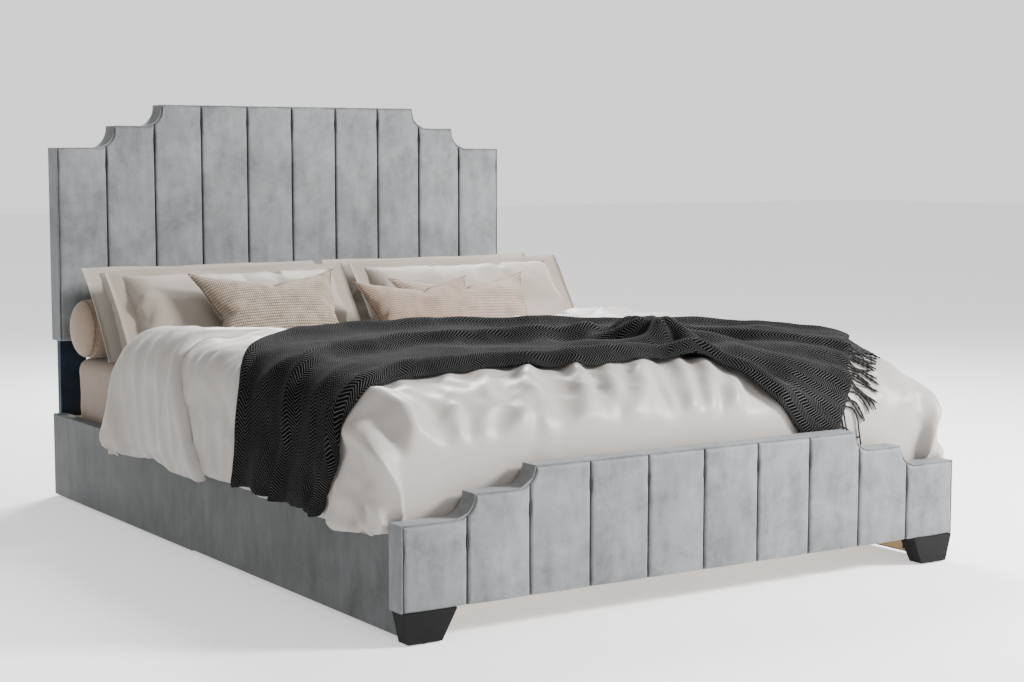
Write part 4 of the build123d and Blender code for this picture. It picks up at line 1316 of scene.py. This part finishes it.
# ---------------------------------------------------------------- turned-back end of the duvet
def make_turnback():
    """The head end of the duvet lies double over the left edge, with a loose front edge."""
    ns, nt = 76, 62
    ss = np.linspace(-1.108, -0.34, ns)
    front = np.interp(ss, [-1.11, -1.0, -0.9, -0.82, -0.74, -0.60, -0.40, -0.30],
                      [-0.10, -0.065, -0.02, 0.03, 0.075, 0.115, 0.15, 0.165])
    front += 0.006 * np.sin(ss * 31)
    back = head_edge(ss) - 0.004
    k = np.linspace(0, 1, nt)
    yy = front[:, None] + (back - front)[:, None] * k[None, :] ** 1.15
    sv = np.repeat(ss[:, None], nt, axis=1)
    sv = sv - 0.010 * smoothstep(-0.9, -1.1, sv) * np.sin(yy * 19 + 1)
    full = 0.024 * smoothstep(-0.34, -0.66, sv) * (1 - 0.45 * k[None, :]) + 0.0015
    from_front = yy - front[:, None]
    round_f = 1 - np.clip(from_front / 0.028, 0, 1)
    from_hem = sv + 1.112
    round_h = 1 - np.clip(from_hem / 0.022, 0, 1)
    puff = np.sqrt(np.maximum(0.02, 1 - round_f ** 2)) * np.sqrt(np.maximum(0.05, 1 - round_h ** 2))
    pts = on_duvet(sv, yy, np.zeros_like(sv), BASE, BASE_N).reshape(-1, 3)
    soft = fractal(pts * np.array([1, 1.2, 1]), 7.0, 3, 8.0).reshape(ns, nt)
    ripple = np.zeros_like(sv)
    for m in range(7):
        y0 = 0.02 + 0.075 * m
        wide = 0.015 + 0.004 * (m % 3)
        line = y0 + (sv + 1.1) * (0.10 + 0.02 * m) - yy
        ripple += (0.0045 + 0.002 * (m % 2)) * np.exp(-(line / wide) ** 2) * smoothstep(-0.66, -0.95, sv)
    high = full * puff * (1 + 0.25 * soft) + ripple * puff
    outer = on_duvet(sv, yy, high + 0.001, BASE, BASE_N)
    under = -0.004 * np.ones_like(sv) * (1 - 0.9 * (from_hem < 0.045))
    inner = on_duvet(sv, yy, under, BASE, BASE_N)
    keep = np.ones((ns - 1, nt - 1), bool)
    mid = (ss[:-1] + ss[1:]) / 2
    ymid = (yy[:-1, :-1] + yy[1:, 1:]) / 2
    keep &= ~((mid[:, None] > NOTCH[0] + 0.004) & (ymid > NOTCH[2] - 0.012))
    uv = np.stack([sv + 3, yy], axis=-1)
    grids = [g[:, ::-1] for g in (outer, inner, uv, keep)]
    ob = layers("duvet_turnback", *grids, DUVET_MAT)
    subdivide(ob, 1)
    crease_cloth(ob, 0.0035, 5.0)
    declare(ob, "duvet", slot="duvet_sateen")


make_turnback()


# ---------------------------------------------------------------- throw
def even_line(points, count):
    """The line through the points, evenly spaced and eased."""
    p = np.array(points, float)
    d = np.concatenate([[0], np.cumsum(np.hypot(*np.diff(p, axis=0).T))])
    q = np.linspace(0, d[-1], count)
    out = np.column_stack([np.interp(q, d, p[:, 0]), np.interp(q, d, p[:, 1])])
    for _ in range(9):
        out[1:-1] = (out[:-2] + 2 * out[1:-1] + out[2:]) / 4
    return out


# across and along the bed: the throw's edge near the head, its edge near the foot, and the bunch
FAR = [(-1.075, -0.27), (-0.95, -0.33), (-0.83, -0.36), (-0.70, -0.20), (-0.60, -0.12), (-0.40, -0.04),
       (-0.22, -0.05), (0.11, -0.20), (0.34, -0.31), (0.55, -0.41), (0.65, -0.51), (0.77, -0.70)]
NEAR = [(-1.028, -0.78), (-0.97, -0.84), (-0.88, -0.88), (-0.76, -0.86), (-0.65, -0.81), (-0.39, -0.80),
        (-0.17, -0.86), (0.02, -0.86), (0.14, -0.88), (0.24, -0.97), (0.34, -1.03), (0.46, -1.045)]
KNOT = (0.15, -0.66)
THROW_THICK = 0.0075
THROW_FOOT = (-1.0462, -1.0545, -1.0505)       # furthest y of its underside, its face and the fringe
STRANDS, KNOTS = 44, 9                         # fringe: how many, and points along each


def roll(b, at, width, height, lean=0.0):
    """Rope-like pleat along the throw, steeper on one side."""
    d = (b - at) / width
    d = d + lean * np.exp(-d * d)
    return height * np.exp(-d * d)


def make_throw(duvet_tree):
    na, nb = 170, 64
    far, near = even_line(FAR, na), even_line(NEAR, na)
    b = np.linspace(0, 1, nb)
    a = np.linspace(0, 1, na)
    aa, bb = np.meshgrid(a, b, indexing="ij")
    wander = 0.02 * np.sin(aa * 17) + 0.012 * np.sin(aa * 41 + 2)
    low_half = smoothstep(0.46, 0.56, bb) * smoothstep(0.06, 0.0, aa)
    s = far[:, None, 0] * (1 - bb) + near[:, None, 0] * bb - 0.012 * low_half
    y = far[:, None, 1] * (1 - bb) + near[:, None, 1] * bb
    ks, ky = s - KNOT[0], y - KNOT[1]
    far_k = np.hypot(ks, ky)
    pinch = 0.30 * np.exp(-(far_k / 0.20) ** 2)
    s, y = s - ks * pinch, y - ky * pinch
    hang = smoothstep(-0.80, -0.95, s)
    mid = 0.50 + 0.05 * np.sin(aa * 6.0) + wander
    knot = np.exp(-(far_k / 0.095) ** 2)
    turn = np.arctan2(ky, ks)
    h = roll(bb, 0.06 + 0.4 * wander, 0.036, 0.028, 0.5) + roll(bb, mid, 0.032, 0.042, 0.7)
    h += roll(bb, 0.94 + 0.3 * wander, 0.034, 0.034, -0.5)
    h += roll(bb, 0.27 + wander, 0.07, 0.007) * (1 - knot) + roll(bb, 0.74 - wander, 0.06, 0.008)
    h *= 1 - 0.25 * hang
    spokes = np.exp(-(far_k / 0.24) ** 2) * smoothstep(0.02, 0.07, far_k)
    h += 0.070 * knot + 0.020 * spokes * (0.5 + np.cos(5 * turn + 40 * far_k))
    end = smoothstep(0.70, 0.86, aa)
    h += end * (0.012 * np.sin(bb * 15 + 1.0 + 5 * aa) ** 2 - 0.008 * np.exp(-((bb - mid) / 0.05) ** 2))
    pts = np.stack([s, y, 0 * s], axis=-1).reshape(-1, 3)
    broad, fine = (fractal(pts, *how).reshape(na, nb) for how in ((9.0, 3, 6.0), (30.0, 2, 1.0)))
    h += 0.0035 * broad + 0.0016 * fine
    inner = on_duvet(s, y, 0.004 + np.maximum(h, 0.0), BASE, BASE_N)
    inner = push_off(inner, duvet_tree, 0.0025, 3)
    inner[1:-1, 1:-1] = (inner[1:-1, 1:-1] * 2 + inner[:-2, 1:-1] + inner[2:, 1:-1]
                         + inner[1:-1, :-2] + inner[1:-1, 2:]) / 6
    inner = push_off(inner, duvet_tree, 0.002, 1)
    inner[..., 1] = np.maximum(inner[..., 1], THROW_FOOT[0])
    n = grid_normals(inner)
    if n[na // 2, nb // 2, 2] < 0:
        n = -n
    soft = smooth_grid(n, 1)
    soft /= np.linalg.norm(soft, axis=-1)[..., None]
    border = np.minimum.reduce([bb, 1 - bb, aa * 3, (1 - aa) * 3])
    outer = inner + soft * (THROW_THICK * (0.55 + 0.45 * smoothstep(0, 0.03, border)))[..., None]
    outer[..., 1] = np.maximum(outer[..., 1], THROW_FOOT[1])
    step_a = np.linalg.norm(np.diff(inner, axis=0), axis=2).mean(axis=1)
    run_a = np.concatenate([[0], np.cumsum(step_a)])
    step_b = np.linalg.norm(np.diff(inner, axis=1), axis=2)
    run_b = np.concatenate([np.zeros((na, 1)), np.cumsum(step_b, axis=1)], axis=1)
    run_b -= run_b[:, nb // 2][:, None]
    uv = np.stack([np.repeat(run_a[:, None], nb, axis=1), run_b], axis=-1)
    ob = layers("throw_cloth", outer, inner, uv, None, THROW_MAT)
    subdivide(ob, 1)

    make_fringe(inner, s, y, duvet_tree)
    declare(ob, "throw_blanket", "throw_blanket", "throw_wool")


def make_fringe(inner, s, y, duvet_tree):
    """Twisted two-ply strands from the throw's right end, lying on the duvet."""
    verts, faces = [], []
    rng = np.random.default_rng(7)
    for k in range(STRANDS):
        j = (0.01 + 0.98 * k / (STRANDS - 1)) * (inner.shape[1] - 1)
        j0 = min(int(j), inner.shape[1] - 2)
        f = j - j0
        at, was = (np.array([g[i, j0] * (1 - f) + g[i, j0 + 1] * f for g in (s, y)]) for i in (-1, -9))
        way = (at - was) / np.linalg.norm(at - was)
        way += rng.normal(0, 0.22, 2) + np.array([0.25, -0.35])
        way /= np.linalg.norm(way)
        long = rng.uniform(0.058, 0.084)
        root = inner[-1, j0] * (1 - f) + inner[-1, j0 + 1] * f
        bend = rng.uniform(-0.012, 0.012)
        line = []
        for m in range(KNOTS):
            q = m / (KNOTS - 1)
            sy = at + way * long * q + np.array([-way[1], way[0]]) * bend * math.sin(q * 4)
            spot = [np.array([c]) for c in (sy[0], sy[1], 0.0055)]
            p = on_duvet(*spot, BASE, BASE_N)[0]
            w = smoothstep(0, 0.3, q)
            line.append(root * (1 - w) + p * w if q < 0.3 else p)
        line = push_off(np.array(line), duvet_tree, 0.0036, 2)
        line[:, 1] = np.maximum(line[:, 1], THROW_FOOT[2])
        for strand in (0, 1):
            path, radii = [], []
            for m in range(4 * (KNOTS - 1) + 1):
                q = m / (4 * (KNOTS - 1))
                c = np.array([np.interp(q * (KNOTS - 1), range(KNOTS), line[:, d]) for d in range(3)])
                twist = q * long / 0.011 * math.pi + strand * math.pi
                side = np.array([-way[1], way[0], 0])
                c = c + side * 0.0013 * math.cos(twist) + np.array([0, 0, 0.0012 * math.sin(twist)])
                path.append(c)
                radii.append(0.0019 if q < 0.93 else 0.0012)
            cord = tube("strand", path, radii, None, ring=6)
            base = len(verts)
            verts += [tuple(v.co) for v in cord.data.vertices]
            faces += [tuple(i + base for i in q.vertices) for q in cord.data.polygons]
            old = cord.data
            bpy.data.objects.remove(cord)
            bpy.data.meshes.remove(old)
    fringe = mesh_object("throw_fringe", verts, faces, YARN, uv=[(v[0], v[1]) for v in verts])
    declare(fringe, "throw_blanket", slot="throw_wool")


make_throw(tree_of(bpy.data.objects["duvet_body"]))


# ---------------------------------------------------------------- floor, light and camera
def floor():
    me = bpy.data.meshes.new("floor")
    me.from_pydata([(-30, -30, 0), (30, -30, 0), (30, 30, 0), (-30, 30, 0)], [], [(0, 1, 2, 3)])
    ob = bpy.data.objects.new("floor", me)
    bpy.context.scene.collection.objects.link(ob)
    m = Mat("floor_pale", (0.86, 0.86, 0.86), rough=0.9, spec=0.1)
    m.color(m.ramp(m.noise(0.8, 3.0), [(0.3, (0.85, 0.85, 0.85)), (0.7, (0.875, 0.875, 0.875))]))
    m.put("Emission Color", (1, 1, 1, 1))
    m.put("Emission Strength", 0.62)
    me.materials.append(m.mat)


def lamp(name, at, target, size, power):
    data = bpy.data.lights.new(name, "AREA")
    data.shape = "RECTANGLE"
    data.size, data.size_y = size
    data.energy = power
    ob = bpy.data.objects.new(name, data)
    ob.location = at
    ob.rotation_euler = (Vector(target) - Vector(at)).to_track_quat("-Z", "Y").to_euler()
    bpy.context.scene.collection.objects.link(ob)


floor()
lamp("key", (3.4, -3.4, 2.6), (0.0, -0.1, 0.4), (1.1, 1.1), 700)
lamp("top", (1.6, 2.8, 3.4), (0, 0.0, 0.4), (1.4, 1.4), 420)
lamp("fill", (-1.2, -5.2, 2.4), (0, 0, 0.5), (3.0, 2.4), 70)
world = bpy.data.worlds.new("studio")
world.use_nodes = True
tree = world.node_tree
# the world lights the scene with one white and shows the camera a brighter one
light, paper = tree.nodes["Background"], tree.nodes.new("ShaderNodeBackground")
for white, strength in ((light, 0.66), (paper, 1.32)):
    white.inputs["Color"].default_value = (1, 1, 1, 1)
    white.inputs["Strength"].default_value = strength
seen = tree.nodes.new("ShaderNodeLightPath")
choose = tree.nodes.new("ShaderNodeMixShader")
tree.links.new(seen.outputs["Is Camera Ray"], choose.inputs[0])
tree.links.new(light.outputs[0], choose.inputs[1])
tree.links.new(paper.outputs[0], choose.inputs[2])
tree.links.new(choose.outputs[0], tree.nodes["World Output"].inputs["Surface"])
bpy.context.scene.world = world

YAW, PITCH = math.radians(33.106), math.radians(-5.512)
cam = bpy.data.cameras.new("camera")
cam.lens = 67.37
cam.sensor_width = 36.0
camera = bpy.data.objects.new("camera", cam)
camera.location = (-2.846, -4.640, 1.0585)
camera.rotation_euler = (math.pi / 2 + PITCH, 0, -YAW)
bpy.context.scene.collection.objects.link(camera)
bpy.context.scene.camera = camera

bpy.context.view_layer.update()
